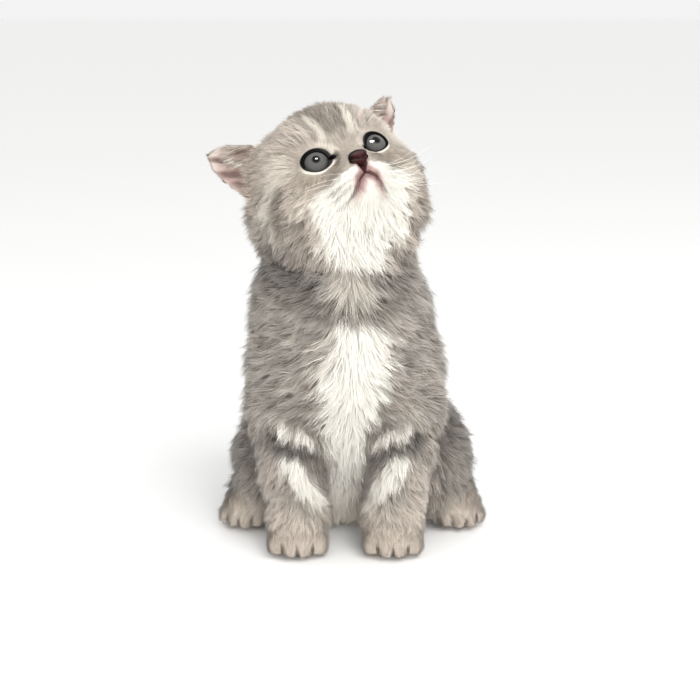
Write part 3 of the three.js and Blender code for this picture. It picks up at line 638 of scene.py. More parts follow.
# The points of the mouth's line, dropped onto the face along its own y
def mouthOn(tree):
    def onFace(x, z):
        start = toMetres(fromHead([x, -60, z]))
        hit = tree.ray_cast(Vector(start), Vector(headTurn @ np.array([0, 1.0, 0])))[0]
        return toHead(toPose(hit))

    halves = []
    for side in (-1, 1):
        line = np.array([mouth["fork"], *mouth[side]], float)
        gone = np.concatenate([[0], np.cumsum(np.linalg.norm(np.diff(line, axis=0), axis=1))])
        steps = np.linspace(0, gone[-1], mouth["steps"])
        halves.append([onFace(x, z) for x, z in zip(*(np.interp(steps, gone, line[:, k]) for k in (0, 1)))])
    return [onFace(x, z) for x, z in mouth["stem"]], halves


skinPiece.data.vertices.foreach_set("co", toMetres(points).ravel())
skinPiece.data.update()
stem, halves = mouthOn(BVHTree.FromPolygons([tuple(p) for p in toMetres(points)], triangles.tolist()))
mouthLine = np.array(halves[0][::-1] + stem[::-1] + stem + halves[1])
local = toHead(points)
off, _ = nearLine(local, mouthLine)
outward = normalsOf(points, triangles)
crease = mouth["depth"] * ramp(10, 3, np.abs(local[:, 0])) * np.exp(-(off / mouth["half"]) ** 2)
local -= (outward @ headTurn) * crease[:, None]
# inside each opening the skin passes behind the eyeball, and at its edge it stands on a ledge
socket = {"behind": 1.2, "ledge": 0.55, "near": 4.5}
for side in (-1, 1):
    opened, radius = openness(local, side)
    centre = eyeCentre(side)
    low, ledge = eye["radius"] - socket["behind"], eye["radius"] + socket["ledge"]
    rise = mix(np.full(len(local), ledge), np.maximum(radius, ledge), ramp(1.0, 1.5, opened))
    wanted = mix(low, rise, ramp(0.93, 1.02, opened))
    near = radius < eye["radius"] + socket["near"]
    local[near] = (centre + (local - centre) / radius[:, None] * wanted[:, None])[near]
points = fromHead(local)
points -= normalsOf(points, triangles) * (toes["depth"] * slitNearness(points))[:, None]
points[:, 2] = np.maximum(points[:, 2], skin["sole"])
normals = normalsOf(points, triangles)
inward = inwardOf(normals, parts)
skinPiece.data.vertices.foreach_set("co", toMetres(points).ravel())
skinPiece.data.update()
for polygon in skinPiece.data.polygons:
    polygon.use_smooth = True
print("skin shaped")


# Materials
def addNode(tree, kind, settings=None, links=None):
    node = tree.nodes.new(kind)
    for key, value in (settings or {}).items():
        if isinstance(key, int) or key in node.inputs:
            node.inputs[key].default_value = value
        else:
            setattr(node, key, value)
    for key, socket in (links or {}).items():
        tree.links.new(socket, node.inputs[key])
    return node


def newMaterial(name):
    material = bpy.data.materials.new(name)
    material.use_nodes = True
    tree = material.node_tree
    tree.nodes.clear()
    return material, tree


def finished(tree, shader):
    addNode(tree, "ShaderNodeOutputMaterial", links={"Surface": shader.outputs[0]})


def rgba(code):
    return (*linear(code), 1)


# A fine unevenness of the surface, in waves to the metre
def grained(tree, noise, bump):
    place = addNode(tree, "ShaderNodeTexCoord")
    grain = addNode(tree, "ShaderNodeTexNoise", noise, {"Vector": place.outputs["Object"]})
    return addNode(tree, "ShaderNodeBump", bump, {"Height": grain.outputs[0]}).outputs[0]


# A colour that wanders between two others
def mottled(tree, scale, one, other):
    place = addNode(tree, "ShaderNodeTexCoord")
    noise = addNode(tree, "ShaderNodeTexNoise", {"Scale": scale}, {"Vector": place.outputs["Object"]})
    blend = addNode(tree, "ShaderNodeMix", {"data_type": "RGBA", 6: rgba(one), 7: rgba(other)},
                    {0: noise.outputs[0]})
    return blend.outputs[2]


# Kitten fur: soft keratin hairs without gloss, pale at their tips and dusky at the root, the dusk partly
# painted shade deep in the coat
furMaterial, tree = newMaterial("plushKittenFur")
shade = addNode(tree, "ShaderNodeAttribute", {"attribute_name": "coatShade"})
finished(tree, addNode(tree, "ShaderNodeBsdfPrincipled", {
    "Roughness": 0.6, "Specular IOR Level": 0.25, "Sheen Weight": 0.2, "Sheen Roughness": 0.4,
}, {"Base Color": shade.outputs["Color"]}))

# Skin under the fur: matt, thin and finely creased, seen only where the coat parts
skinMaterial, tree = newMaterial("softKittenSkin")
shade = addNode(tree, "ShaderNodeAttribute", {"attribute_name": "coatShade"})
creases = grained(tree, {"Scale": 900.0, "Detail": 4.0}, {"Strength": 0.25, "Distance": 0.0003})
finished(tree, addNode(tree, "ShaderNodeBsdfPrincipled", {"Roughness": 0.7, "Specular IOR Level": 0.25}, {
    "Base Color": shade.outputs["Color"], "Normal": creases,
}))


def setShade(mesh, colours):
    layer = mesh.attributes.new("coatShade", "FLOAT_COLOR", "POINT")
    values = np.ones((len(colours), 4), np.float32)
    values[:, :3] = np.clip(colours, 0, 1)
    layer.data.foreach_set("color", values.ravel())


skinShade = markings(points, normals, parts, inward)
# the skin is darker where the coat hides it: dusky skin, and painted shadow between the clumps, less under
# pale fur and none on the ears
shown = np.maximum(inward, share(parts, "ear"))
skinShade *= mix(mix(0.45, 0.8, ramp(0.35, 0.8, skinShade.mean(1))), 1.0, shown)[:, None]
setShade(skinPiece.data, skinShade)
skinPiece.data.materials.append(skinMaterial)
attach(skinPiece, "root")
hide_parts(*fleshNodes)
print("skin finished")


# The hairs: slim three-sided spikes rooted in the skin, closed at the root and the tip
def cornerPlaces(corners, bary):
    return (corners * bary[:, :, None]).sum(1)


def drawRoots(count):
    a, b, c = (points[triangles[:, k]] for k in range(3))
    area = np.linalg.norm(np.cross(b - a, c - a), axis=1) / 2
    centre = (a + b + c) / 3
    faceParts = parts[triangles].mean(1)
    faceInward = inward[triangles].mean(1)
    density = np.interp(hairLength(centre, faceParts, 0 * faceInward), *coat["densities"])
    local = toHead(centre)
    for side, name in ((1, "ear_left"), (-1, "ear_right")):
        inner = faceInward * share(faceParts, name)
        density *= mix(1, mix(0.22, 0.6, earInside(local, faceInward, side)), inner)
    sole = (centre[:, 2] < 6) & (normals[triangles].mean(1)[:, 2] < -0.5)
    density[sole] *= 0.3
    bare = coat["bare"]
    density[centre[:, 2] < bare["floor"]] = 0
    for side in (-1, 1):
        crease, _ = nearLine(local, innerCorner(side))
        density[(openness(local, side)[0] < bare["eye"]) | (crease < bare["crease"])] = 0
    off, _ = nearLine(local, mouthLine)
    lips = (off < bare["lip"]) & (np.abs(local[:, 0]) < bare["lipHalf"]) & (share(faceParts, "head") > 0.5)
    density[lips | (share(faceParts, "nose") > 0.45)] = 0
    chance = np.cumsum(area * density)
    print("skin area in square mm", int(area.sum()), "hairs per square mm", round(count / area.sum(), 2))
    pick = np.searchsorted(chance, (np.arange(count) + random.uniform(0, 1, count)) / count * chance[-1])
    pick = np.minimum(pick, len(triangles) - 1)
    u, v = random.uniform(0, 1, (2, count))
    fold = u + v > 1
    u[fold], v[fold] = 1 - u[fold], 1 - v[fold]
    return pick, np.stack([1 - u - v, u, v], 1)


# The faces of a three-sided spike with this many rings of corners below its tip
def spikeFaces(rings):
    faces = [(2, 1, 0)]
    for r in range(0, 3 * rings - 3, 3):
        faces += [(r + k, r + (k + 1) % 3, r + 3 + (k + 1) % 3, r + 3 + k) for k in range(3)]
    last = 3 * rings - 3
    return faces + [(last + k, last + (k + 1) % 3, 3 * rings) for k in range(3)]


# Corners, loops, sizes of faces, shades, patches on the unwrapped skin and normals of the chosen hairs.
# Those that bend have a ring of corners at the root and one at the middle, the others one at the root.
def spikes(chosen, bent):
    rings = 2 if bent else 1
    spine = [hair["root"][chosen], hair["middle"][chosen]][:rings] + [hair["tip"][chosen]]
    tones = [hair["rootShade"][chosen], hair["middleShade"][chosen]][:rings] + [hair["tipShade"][chosen]]
    across, width, upright = (hair[key][chosen] for key in ("across", "width", "normal"))
    up = unit(np.cross(across, unit(spine[1] - spine[0])))
    count, size = len(chosen), 3 * rings + 1
    corners, facing = np.zeros((count, size, 3)), np.zeros((count, size, 3))
    shade, patch = np.zeros((count, size, 3)), np.zeros((size, 2))
    for k in range(3 * rings):
        angle = (k % 3) * 2 * math.pi / 3
        ring = math.sin(angle) * across + 0.6 * math.cos(angle) * up
        corners[:, k] = spine[k // 3] + ring * (width * (0.5, 0.42)[k // 3])[:, None]
        facing[:, k] = unit(0.3 * unit(ring) + upright)
        shade[:, k] = tones[k // 3]
        patch[k] = (0.5 + 0.5 * math.sin(angle), k // 3 * 0.6 + 0.05 * (k % 3))
    corners[:, -1], facing[:, -1], shade[:, -1], patch[-1] = spine[-1], upright, tones[-1], (0.5, 1)
    faces = spikeFaces(rings)
    loops = (np.concatenate(faces)[None] + size * np.arange(count)[:, None]).ravel()
    sizes = np.tile([len(face) for face in faces], count)
    places = (hair["place"][chosen][:, None] + patch[None] * 0.003).reshape(-1, 2)
    return corners.reshape(-1, 3), loops, sizes, shade.reshape(-1, 3), places, facing.reshape(-1, 3)


# One mesh of the chosen hairs
def hairMesh(name, chosen):
    bent = hair["bent"][chosen]
    both = [spikes(chosen[bent], True), spikes(chosen[~bent], False)]
    loops = np.concatenate([both[0][1], both[1][1] + len(both[0][0])])
    corners, sizes, shade, places, facing = (
        np.concatenate([kind[k] for kind in both]) for k in (0, 2, 3, 4, 5))
    mesh = bpy.data.meshes.new(name)
    mesh.vertices.add(len(corners))
    mesh.vertices.foreach_set("co", toMetres(corners).ravel())
    mesh.loops.add(len(loops))
    mesh.loops.foreach_set("vertex_index", loops)
    mesh.polygons.add(len(sizes))
    mesh.polygons.foreach_set("loop_start", np.cumsum(sizes) - sizes)
    mesh.update(calc_edges=True)
    setShade(mesh, shade)
    layer = mesh.uv_layers.new(name="OFBake")
    layer.data.foreach_set("uv", places[loops].ravel().astype(np.float32))
    mesh.normals_split_custom_set_from_vertices(facing)
    mesh.materials.append(furMaterial)
    return mesh


# Places on an unwrap of the skin: each limb seen from six sides, each view on a tile of its own
def unwrapPlaces(at, normal, parts):
    groups = [("head", "nose"), ("ear_left",), ("ear_right",), ("neck", "torso"),
              ("foreleg_left", "forepaw_left"), ("foreleg_right", "forepaw_right"),
              ("thigh_left", "hindfoot_left"), ("thigh_right", "hindfoot_right"), ("tail",)]
    group = np.argmax([share(parts, *names) for names in groups], axis=0)
    axis = np.argmax(np.abs(normal), axis=1)
    tile = group * 6 + axis * 2 + (normal[np.arange(len(at)), axis] > 0)
    places = np.zeros((len(at), 2))
    for g in range(len(groups)):
        for k, (p, q) in enumerate(((1, 2), (0, 2), (0, 1))):
            here = (group == g) & (axis == k)
            if here.any():
                flat = at[here][:, [p, q]]
                low, high = at[group == g].min(0)[[p, q]], at[group == g].max(0)[[p, q]]
                places[here] = (flat - low) / (high - low).max() * 0.118 + 0.002
    return places + np.stack([tile % 8, tile // 8], 1) * 0.125


pick, bary = drawRoots(coat["hairs"])
corners = triangles[pick]
root = cornerPlaces(points[corners], bary)
normal = unit(cornerPlaces(normals[corners], bary))
hairParts = cornerPlaces(parts[corners], bary)
hairInward = (inward[corners] * bary).sum(1)
count = len(root)
length = hairLength(root, hairParts, hairInward) * random.uniform(0.72, 1.18, count)
bent = (length > 4.5) & (random.uniform(0, 1, count) < coat["longShare"])
length[bent] *= 1.08
lie = hairLie(root, normal, hairParts, hairInward)

# each hair belongs to a clump, which shares a turn, a lift, a tone and a tip
seeds = random.choice(count, count // coat["clumpSize"], replace=False)
finder = KDTree(len(seeds))
for k, seed in enumerate(seeds):
    finder.insert(Vector(root[seed]), k)
finder.balance()
clump = np.array([finder.find(Vector(p))[1] for p in root])
loose = ramp(1.2, 8.5, length) * (1 - 0.8 * hairInward)
clumpTurn = random.normal(0, 1, len(seeds))[clump] * (3 + 12 * loose)
clumpLift = random.normal(0, 1, len(seeds))[clump] * (2 + 4 * loose)
clumpTone = random.normal(0, 1, len(seeds))[clump]
turn = np.radians(clumpTurn + 16 * ripple(root, 13, 11) * loose + random.normal(0, 6, count))
side = np.cross(normal, lie)
lie = lie * np.cos(turn)[:, None] + side * np.sin(turn)[:, None]
side = unit(np.cross(normal, lie))
parting = ripple(root * np.array([0.7, 1, 1.4]), 9, 12)
wave = 14 * parting * loose
lift = coat["rootLift"] + clumpLift + wave + random.normal(0, 6, count)
tipLift = coat["tipLift"] + clumpLift + 0.5 * wave + random.normal(0, 6, count)
lift = np.where(bent, lift, 0.5 * (lift + tipLift)) * (1 - 0.45 * share(hairParts, "ear"))
lift = np.radians(np.clip(lift, 5, 70))
tipLift = np.radians(np.clip(tipLift, -4, 45))


def along(angle):
    return lie * np.cos(angle)[:, None] + normal * np.sin(angle)[:, None]


middle = root + along(lift) * (0.5 * length)[:, None]
tip = middle + along(np.where(bent, tipLift, lift)) * (0.5 * length)[:, None]
pull = (0.1 + 0.32 * loose) * random.uniform(0.6, 1.1, count)
offTip = tip[seeds][clump] - tip
tip = tip + offTip * pull[:, None]
middle = middle + offTip * (0.35 * pull)[:, None]
keep = np.ones(count, bool)
clear = coat["clear"]
for point in (middle, tip):
    local = toHead(point)
    for which in (-1, 1):
        opened, off = openness(local, which)
        crease, _ = nearLine(local, innerCorner(which))
        keep &= ~((opened < clear["eye"]) & (off < clear["front"])) & (crease > clear["crease"])
    point[:, 2] = np.maximum(point[:, 2], 0.4)

base = markings(mix(root, tip, 0.5), normal, hairParts, hairInward)
wisp = hairInward * (0.12 + 0.68 * ramp(3, 6.5, length)) * ramp(-0.5, 0.6, ripple(root, 3.0, 13))
base = mix(base, shades["cream"], wisp[:, None])
# white fur is even, grey fur has light and dark hairs
grizzle = ramp(0.85, 0.35, base.mean(1)) * (1 - 0.65 * share(hairParts, "ear"))
tone = 1 + grizzle * (0.09 * clumpTone + 0.17 * random.normal(0, 1, count))
tone = tone + 0.03 * random.normal(0, 1, count)
# painted shadow along the partings of the coat
tone = tone * (1 - (0.05 + 0.22 * grizzle) * loose * ramp(0.1, 0.9, -parting))
base = base * np.clip(tone, 0.4, 1.5)[:, None]
# the dark roots of the whiskers, in rows on the right pad
local = toHead(root)
pads = np.min([nearLine(local * np.array([1, 0, 1]), line)[0] for line in whiskerRows], axis=0)
dots = (pads < 0.55) & (local[:, 1] < -18) & (random.uniform(0, 1, count) < 0.6)
dots &= share(hairParts, "head") > 0.5
base = mix(base, shades["grey"] * 0.7, (0.65 * dots)[:, None])
# the roots darker than the rest: the dusky undercoat, and painted shade deep in the coat, most in grey fur
rootShade = base * mix(0.9, 0.46, grizzle)[:, None] * np.array([1, 0.98, 0.95])
paleTip = np.array([0.86, 0.83, 0.78])
hair = {
    "root": root - normal * 0.35, "middle": middle, "tip": tip,
    "across": side, "normal": normal, "bent": bent,
    "width": np.interp(length, *coat["widths"]) * random.uniform(0.8, 1.25, count),
    "rootShade": rootShade, "middleShade": mix(base, rootShade, 0.3),
    "tipShade": mix(base, paleTip, (0.3 * grizzle * ramp(2, 9, length))[:, None]),
    "place": unwrapPlaces(root, normal, hairParts),
}
print("hairs drawn:", int(keep.sum()), "of which bent:", int((keep & bent).sum()))

coatPieces = {  # what grows from these nodes, the axis along which it is split into pieces, and its slot
    "coatFace": (("head", "nose"), 1, "coat_pale"),
    "coatEars": (("ear",), 0, "ear_skin"),
    "coatBody": (("neck", "torso"), 1, "coat_grey"),
    "coatForelegs": (("foreleg_left", "foreleg_right"), 0, "coat_grey"),
    "coatPaws": (("forepaw", "hindfoot"), 1, "coat_pale"),
    "coatThighs": (("thigh",), 0, "coat_grey"),
    "coatTail": (("tail",), 0, "coat_grey"),
}
owner = np.argmax([share(hairParts, *names) for names, _, _ in coatPieces.values()], axis=0)
for number, (name, (_, axis, slotName)) in enumerate(coatPieces.items()):
    mine = np.where((owner == number) & keep)[0]
    mine = mine[np.argsort(root[mine, axis], kind="stable")]
    faceCount = int((4 + 6 * bent[mine]).sum())
    pieceCount = math.ceil(faceCount / 170000)
    for n, chosen in enumerate(np.array_split(mine, pieceCount)):
        piece = pieceOf(f"{name}{n + 1}", hairMesh(f"{name}{n + 1}", chosen))
        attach(piece, "root")
    print(name, "pieces", pieceCount, "triangles", faceCount)


# The eyes
eyeball = {
    "rings": 40, "around": 56, "bulge": 0.035, "bulgeAngle": 0.75,
    "gaze": {1: (1.18, -6.84, 0.92), -1: (-1.44, -6.83, 0.54)},  # the way each eye looks
}

# The wet eye: a clear film over a fibrous grey iris with a dark rim
eyeMaterial, tree = newMaterial("wetKittenEye")
look = addNode(tree, "ShaderNodeAttribute", {"attribute_name": "gaze"})
parted = addNode(tree, "ShaderNodeSeparateXYZ", links={"Vector": look.outputs["Vector"]})
fibres = addNode(tree, "ShaderNodeTexNoise", {"Scale": 9.0, "Detail": 3.0},
                 {"Vector": look.outputs["Vector"]})
wave = addNode(tree, "ShaderNodeMath", {"operation": "MULTIPLY_ADD", 1: 0.05, 2: -0.025},
               {0: fibres.outputs[0]})
reach = addNode(tree, "ShaderNodeMath", {"operation": "ADD"}, {0: parted.outputs["Z"], 1: wave.outputs[0]})
rings = addNode(tree, "ShaderNodeValToRGB", links={"Fac": reach.outputs[0]})
# the shades by the angle from the middle of the pupil
stops = [(0.0, "#030303"), (0.19, "#030303"), (0.215, "#454443"), (0.3, "#666562"), (0.55, "#5B5A58"),
         (0.68, "#434241"), (0.76, "#1C1A19"), (1.0, "#0C0A09")]
while len(rings.color_ramp.elements) < len(stops):
    rings.color_ramp.elements.new(0.5)
for element, (at, code) in zip(rings.color_ramp.elements, stops):
    element.position = at
    element.color = rgba(code)
streaked = addNode(tree, "ShaderNodeMix", {"data_type": "RGBA", "blend_type": "MULTIPLY", 0: 0.5},
                   {6: rings.outputs[0], 7: fibres.outputs[0]})
finished(tree, addNode(tree, "ShaderNodeBsdfPrincipled", {
    "Roughness": 0.5, "Specular IOR Level": 0.0, "Coat Weight": 1.0, "Coat Roughness": 0.02, "Coat IOR": 1.34,
}, {"Base Color": streaked.outputs[2]}))


def buildEye(side):
    centre = eyeCentre(side)
    out = unit(np.array(eyeball["gaze"][side], float))
    across = unit(np.cross(np.array([0, 0, 1.0]), out))
    up = np.cross(out, across)
    places, gaze, faces = [], [], []
    rows, columns = eyeball["rings"], eyeball["around"]
    for row in range(1, rows):
        polar = math.pi * row / rows
        # the cornea stands out a little
        swell = 1 + eyeball["bulge"] * max(0, 1 - polar / eyeball["bulgeAngle"]) ** 2
        for column in range(columns):
            turn = 2 * math.pi * column / columns
            ray = math.cos(polar) * out + math.sin(polar) * (math.cos(turn) * across + math.sin(turn) * up)
            places.append(centre + eye["radius"] * swell * ray)
            gaze.append((0.9 * math.cos(turn), 0.9 * math.sin(turn), polar))
    places += [centre + eye["radius"] * (1 + eyeball["bulge"]) * out, centre - eye["radius"] * out]
    gaze += [(0, 0, 0), (0, 0, math.pi)]
    front, rear = len(places) - 2, len(places) - 1
    for column in range(columns):
        after = (column + 1) % columns
        faces.append((front, column, after))
        last = (rows - 2) * columns
        faces.append((rear, last + after, last + column))
        for row in range(rows - 2):
            a, b = row * columns + column, row * columns + after
            faces.append((a, a + columns, b + columns, b))
    name = "eyeballLeft" if side > 0 else "eyeballRight"
    mesh = meshFrom(name, fromHead(places), faces)
    layer = mesh.attributes.new("gaze", "FLOAT_VECTOR", "POINT")
    layer.data.foreach_set("vector", np.array(gaze, np.float32).ravel())
    mesh.materials.append(eyeMaterial)
    mesh.shade_smooth()
    piece = pieceOf(name, mesh)
    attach(piece, "root")
    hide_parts("eye_left" if side > 0 else "eye_right")


for side in (-1, 1):
    buildEye(side)

# The bare rim of the lids and the inner corner: black-brown, finely grained skin
rimMaterial, tree = newMaterial("wetLidRim")
grain = grained(tree, {"Scale": 2200.0, "Detail": 2.0}, {"Strength": 0.2, "Distance": 0.0001})
finished(tree, addNode(tree, "ShaderNodeBsdfPrincipled", {
    "Base Color": rgba("#060403"), "Roughness": 0.6, "Specular IOR Level": 0.03,
}, {"Normal": grain}))

lid = {
    "steps": 72, "round": 12, "thick": 0.5, "outerRise": 0.6, "innerRise": 0.1,
    "edge": 1.02, "swell": 0.05, "upper": 0.74, "lower": 0.93,  # its outer and inner edge, by the opening
    "crease": (1.1, 1, 0.35),  # half the width of the dark inner corner, from the eye on
}


# A closed band along a line of points, whose section is an oval with these two half axes
def band(line, sideways, outward, around, closed):
    angles = 2 * math.pi * np.arange(around) / around
    rings = (line[:, None] + np.cos(angles)[None, :, None] * sideways[:, None]
             + np.sin(angles)[None, :, None] * outward[:, None])
    steps = len(line) if closed else len(line) - 1
    faces = []
    for n in range(steps):
        m = (n + 1) % len(line)
        for k in range(around):
            j = (k + 1) % around
            faces.append((n * around + k, n * around + j, m * around + j, m * around + k))
    if not closed:
        faces.append(tuple(range(around))[::-1])
        faces.append(tuple((len(line) - 1) * around + k for k in range(around)))
    return rings.reshape(-1, 3), faces


# A cord of these radii along a line of points
def cord(line, radii, around):
    line = np.asarray(line, float)
    ahead = unit(np.gradient(line, axis=0))
    across = unit(np.cross(ahead, np.array([0, -1.0, 0.13])))
    radii = np.asarray(radii, float)[:, None]
    return band(line, across * radii, np.cross(ahead, across) * radii, around, False)


def buildLids(side):
    outer, inner = [], []
    for n in range(lid["steps"]):
        turn = 2 * math.pi * n / lid["steps"]
        far = lid["edge"] + lid["swell"] * max(0.0, math.sin(turn))
        near = mix(lid["lower"], lid["upper"], 0.5 + 0.5 * math.sin(turn))
        near -= lid["swell"] * max(0.0, math.cos(turn)) ** 2
        outer.append(onEye(side, turn, far, eye["radius"] + lid["outerRise"]))
        inner.append(onEye(side, turn, near, eye["radius"] + lid["innerRise"]))
    outer, inner = np.array(outer), np.array(inner)
    middle = (outer + inner) / 2
    thick = unit(middle - eyeCentre(side)) * lid["thick"]
    rim, faces = band(middle, (outer - inner) / 2, thick, lid["round"], True)
    # the dark inner corner runs on towards the nose
    crease, creaseFaces = cord(innerCorner(side), lid["crease"], lid["round"])
    faces += [tuple(i + len(rim) for i in face) for face in creaseFaces]
    name = "lidRimLeft" if side > 0 else "lidRimRight"
    mesh = meshFrom(name, fromHead(np.concatenate([rim, crease])), faces)
    fixNormals(mesh)
    mesh.materials.append(rimMaterial)
    mesh.shade_smooth()
    piece = pieceOf(mesh.name, mesh)
    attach(piece, "root")


def fixNormals(mesh):
    work = bmesh.new()
    work.from_mesh(mesh)
    bmesh.ops.recalc_face_normals(work, faces=work.faces)
    work.to_mesh(mesh)
    work.free()


for side in (-1, 1):
    buildLids(side)
print("eyes built")

# The nose leather, from its own solid
noseShape = {
    "cell": 0.28, "smoothing": 6, "pinch": 0.5, "lift": 0.15, "middle": (0, -34, -4.2),
    "nostril": [(1.3, -35.2, -5.2), (2.6, -34.9, -4.9), (3.7, -33.9, -4.0), (4.2, -32.6, -3.4)],
    "hole": (1.1, 0.75), "groove": (0.4, 0.4),  # depth and half width
    "shades": {"middle": "#3A1816", "edge": "#1A0C0A", "top": "#32211D", "bridge": "#120B09",
               "hole": "#070303"},
}
noseShades = {name: linear(code) for name, code in noseShape["shades"].items()}
source = bmesh.new()
source.from_mesh(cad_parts["nose"].data)
bmesh.ops.remove_doubles(source, verts=source.verts, dist=1e-5)
noseMesh = bpy.data.meshes.new("noseLeather")
source.to_mesh(noseMesh)
source.free()
nosePiece = remeshed("noseLeather", noseMesh, noseShape["cell"])
nosePoints, noseTriangles, noseEdges = arraysOf(nosePiece.data)
nosePoints = spread(nosePoints, noseEdges, noseShape["smoothing"])
noseLocal = toHead(nosePoints)
noseNormals = normalsOf(nosePoints, noseTriangles) @ headTurn
off, _ = nearLine(noseLocal * np.sign(noseLocal[:, :1]) ** np.array([1, 2, 2]), noseShape["nostril"])
(holeDepth, holeHalf), (grooveDepth, grooveHalf) = noseShape["hole"], noseShape["groove"]
hole = np.exp(-(off / holeHalf) ** 2)
groove = np.exp(-(noseLocal[:, 0] / grooveHalf) ** 2) * ramp(-3.8, -5.5, noseLocal[:, 2])
noseLocal -= noseNormals * (holeDepth * hole + grooveDepth * groove - noseShape["lift"])[:, None]
noseLocal[:, 0] *= 1 - noseShape["pinch"] * ramp(-4.3, -7.2, noseLocal[:, 2])
nosePiece.data.vertices.foreach_set("co", toMetres(fromHead(noseLocal)).ravel())
nosePiece.data.update()
nosePiece.data.shade_smooth()
fromMiddle = (noseLocal - np.array(noseShape["middle"])) * np.array([0.9, 1, 1.2])
edge = ramp(2.2, 4.4, np.linalg.norm(fromMiddle, axis=1))
height = noseLocal[:, 2]
noseShade = mix(noseShades["middle"], noseShades["edge"], edge[:, None])
noseShade = mix(noseShade, noseShades["top"], 0.8 * ramp(-3.9, -3.0, height)[:, None])
noseShade = mix(noseShade, noseShades["bridge"], 0.8 * ramp(-2.4, -1.6, height)[:, None])
# near black in the nostrils and the groove under them: painted shadow in these hollows
noseShade = mix(noseShade, noseShades["hole"], np.clip(1.8 * hole + 0.4 * groove, 0, 1)[:, None])
setShade(nosePiece.data, noseShade)

# Nose leather: hairless skin in tiny damp pebbles, about 0.35 mm apart
noseMaterial, tree = newMaterial("dampNoseLeather")
shade = addNode(tree, "ShaderNodeAttribute", {"attribute_name": "coatShade"})
place = addNode(tree, "ShaderNodeTexCoord")
pebbles = addNode(tree, "ShaderNodeTexVoronoi", {"Scale": 2600.0}, {"Vector": place.outputs["Object"]})
bump = addNode(tree, "ShaderNodeBump", {"Strength": 0.35, "Distance": 0.0001, "invert": True},
               {"Height": pebbles.outputs["Distance"]})
finished(tree, addNode(tree, "ShaderNodeBsdfPrincipled", {
    "Roughness": 0.6, "Specular IOR Level": 0.1,
}, {"Base Color": shade.outputs["Color"], "Normal": bump.outputs[0]}))
nosePiece.data.materials.append(noseMaterial)
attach(nosePiece, "root")
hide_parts("nose")

# The line of the lips: bare dark red skin that shows as a fine cord in its groove
lipMaterial, tree = newMaterial("moistLipEdge")
finished(tree, addNode(tree, "ShaderNodeBsdfPrincipled", {"Roughness": 0.5, "Specular IOR Level": 0.2},
                       {"Base Color": mottled(tree, 400.0, "#260F11", "#4A2224")}))
lip = {"radius": 0.34, "stemRadius": 0.36, "sink": 0.7, "round": 8, "fade": 0.8, "steps": 5}
lipRadii = lip["radius"] * (1 - lip["fade"] * np.linspace(0, 1, lip["steps"]) ** 2)
lipLines = [(halves[0][:lip["steps"]], lipRadii), (halves[1][:lip["steps"]], lipRadii),
            ([*stem, halves[0][0]], [lip["stemRadius"]] * 3)]
lipParts, lipFaces, lipCount = [], [], 0
for line, radii in lipLines:
    ring, faces = cord(np.array(line) + np.array([0, lip["sink"], 0]), radii, lip["round"])
    lipFaces += [tuple(i + lipCount for i in face) for face in faces]
    lipParts.append(ring)
    lipCount += len(ring)
lipMesh = meshFrom("lipEdge", fromHead(np.concatenate(lipParts)), lipFaces)
fixNormals(lipMesh)
lipMesh.materials.append(lipMaterial)
lipMesh.shade_smooth()
lipPiece = pieceOf("lipEdge", lipMesh)
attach(lipPiece, "root")
print("nose and mouth built")

# The whiskers, planted by Geometry Nodes on points of the pads, the brows and the cheeks
whisker = {"length": 20.0, "rootRadius": 0.075, "taper": 0.88, "bow": 3.2, "sides": 5, "bends": 9}
# Rows and columns on a side, the first place, the steps per row and column, and the length
whiskerGroups = [
    (3, 3, (7.0, -30, -9.0), (0.3, 0, -2.3), (2.8, 0, -0.2), 1.0),
    (1, 2, (11.5, -30, 13.2), (0, 0, 0), (2.0, 0, 0.3), 0.6),
    (1, 2, (25.5, -30, -8.5), (0, 0, 0), (1.6, 0, -1.5), 0.55),
]

# A whisker: a stiff, smooth white hair
whiskerMaterial, tree = newMaterial("stiffWhiteWhisker")
finished(tree, addNode(tree, "ShaderNodeBsdfPrincipled", {"Roughness": 0.4, "Coat Weight": 0.2},
                       {"Base Color": mottled(tree, 700.0, "#F4F1EA", "#FFFFFF")}))


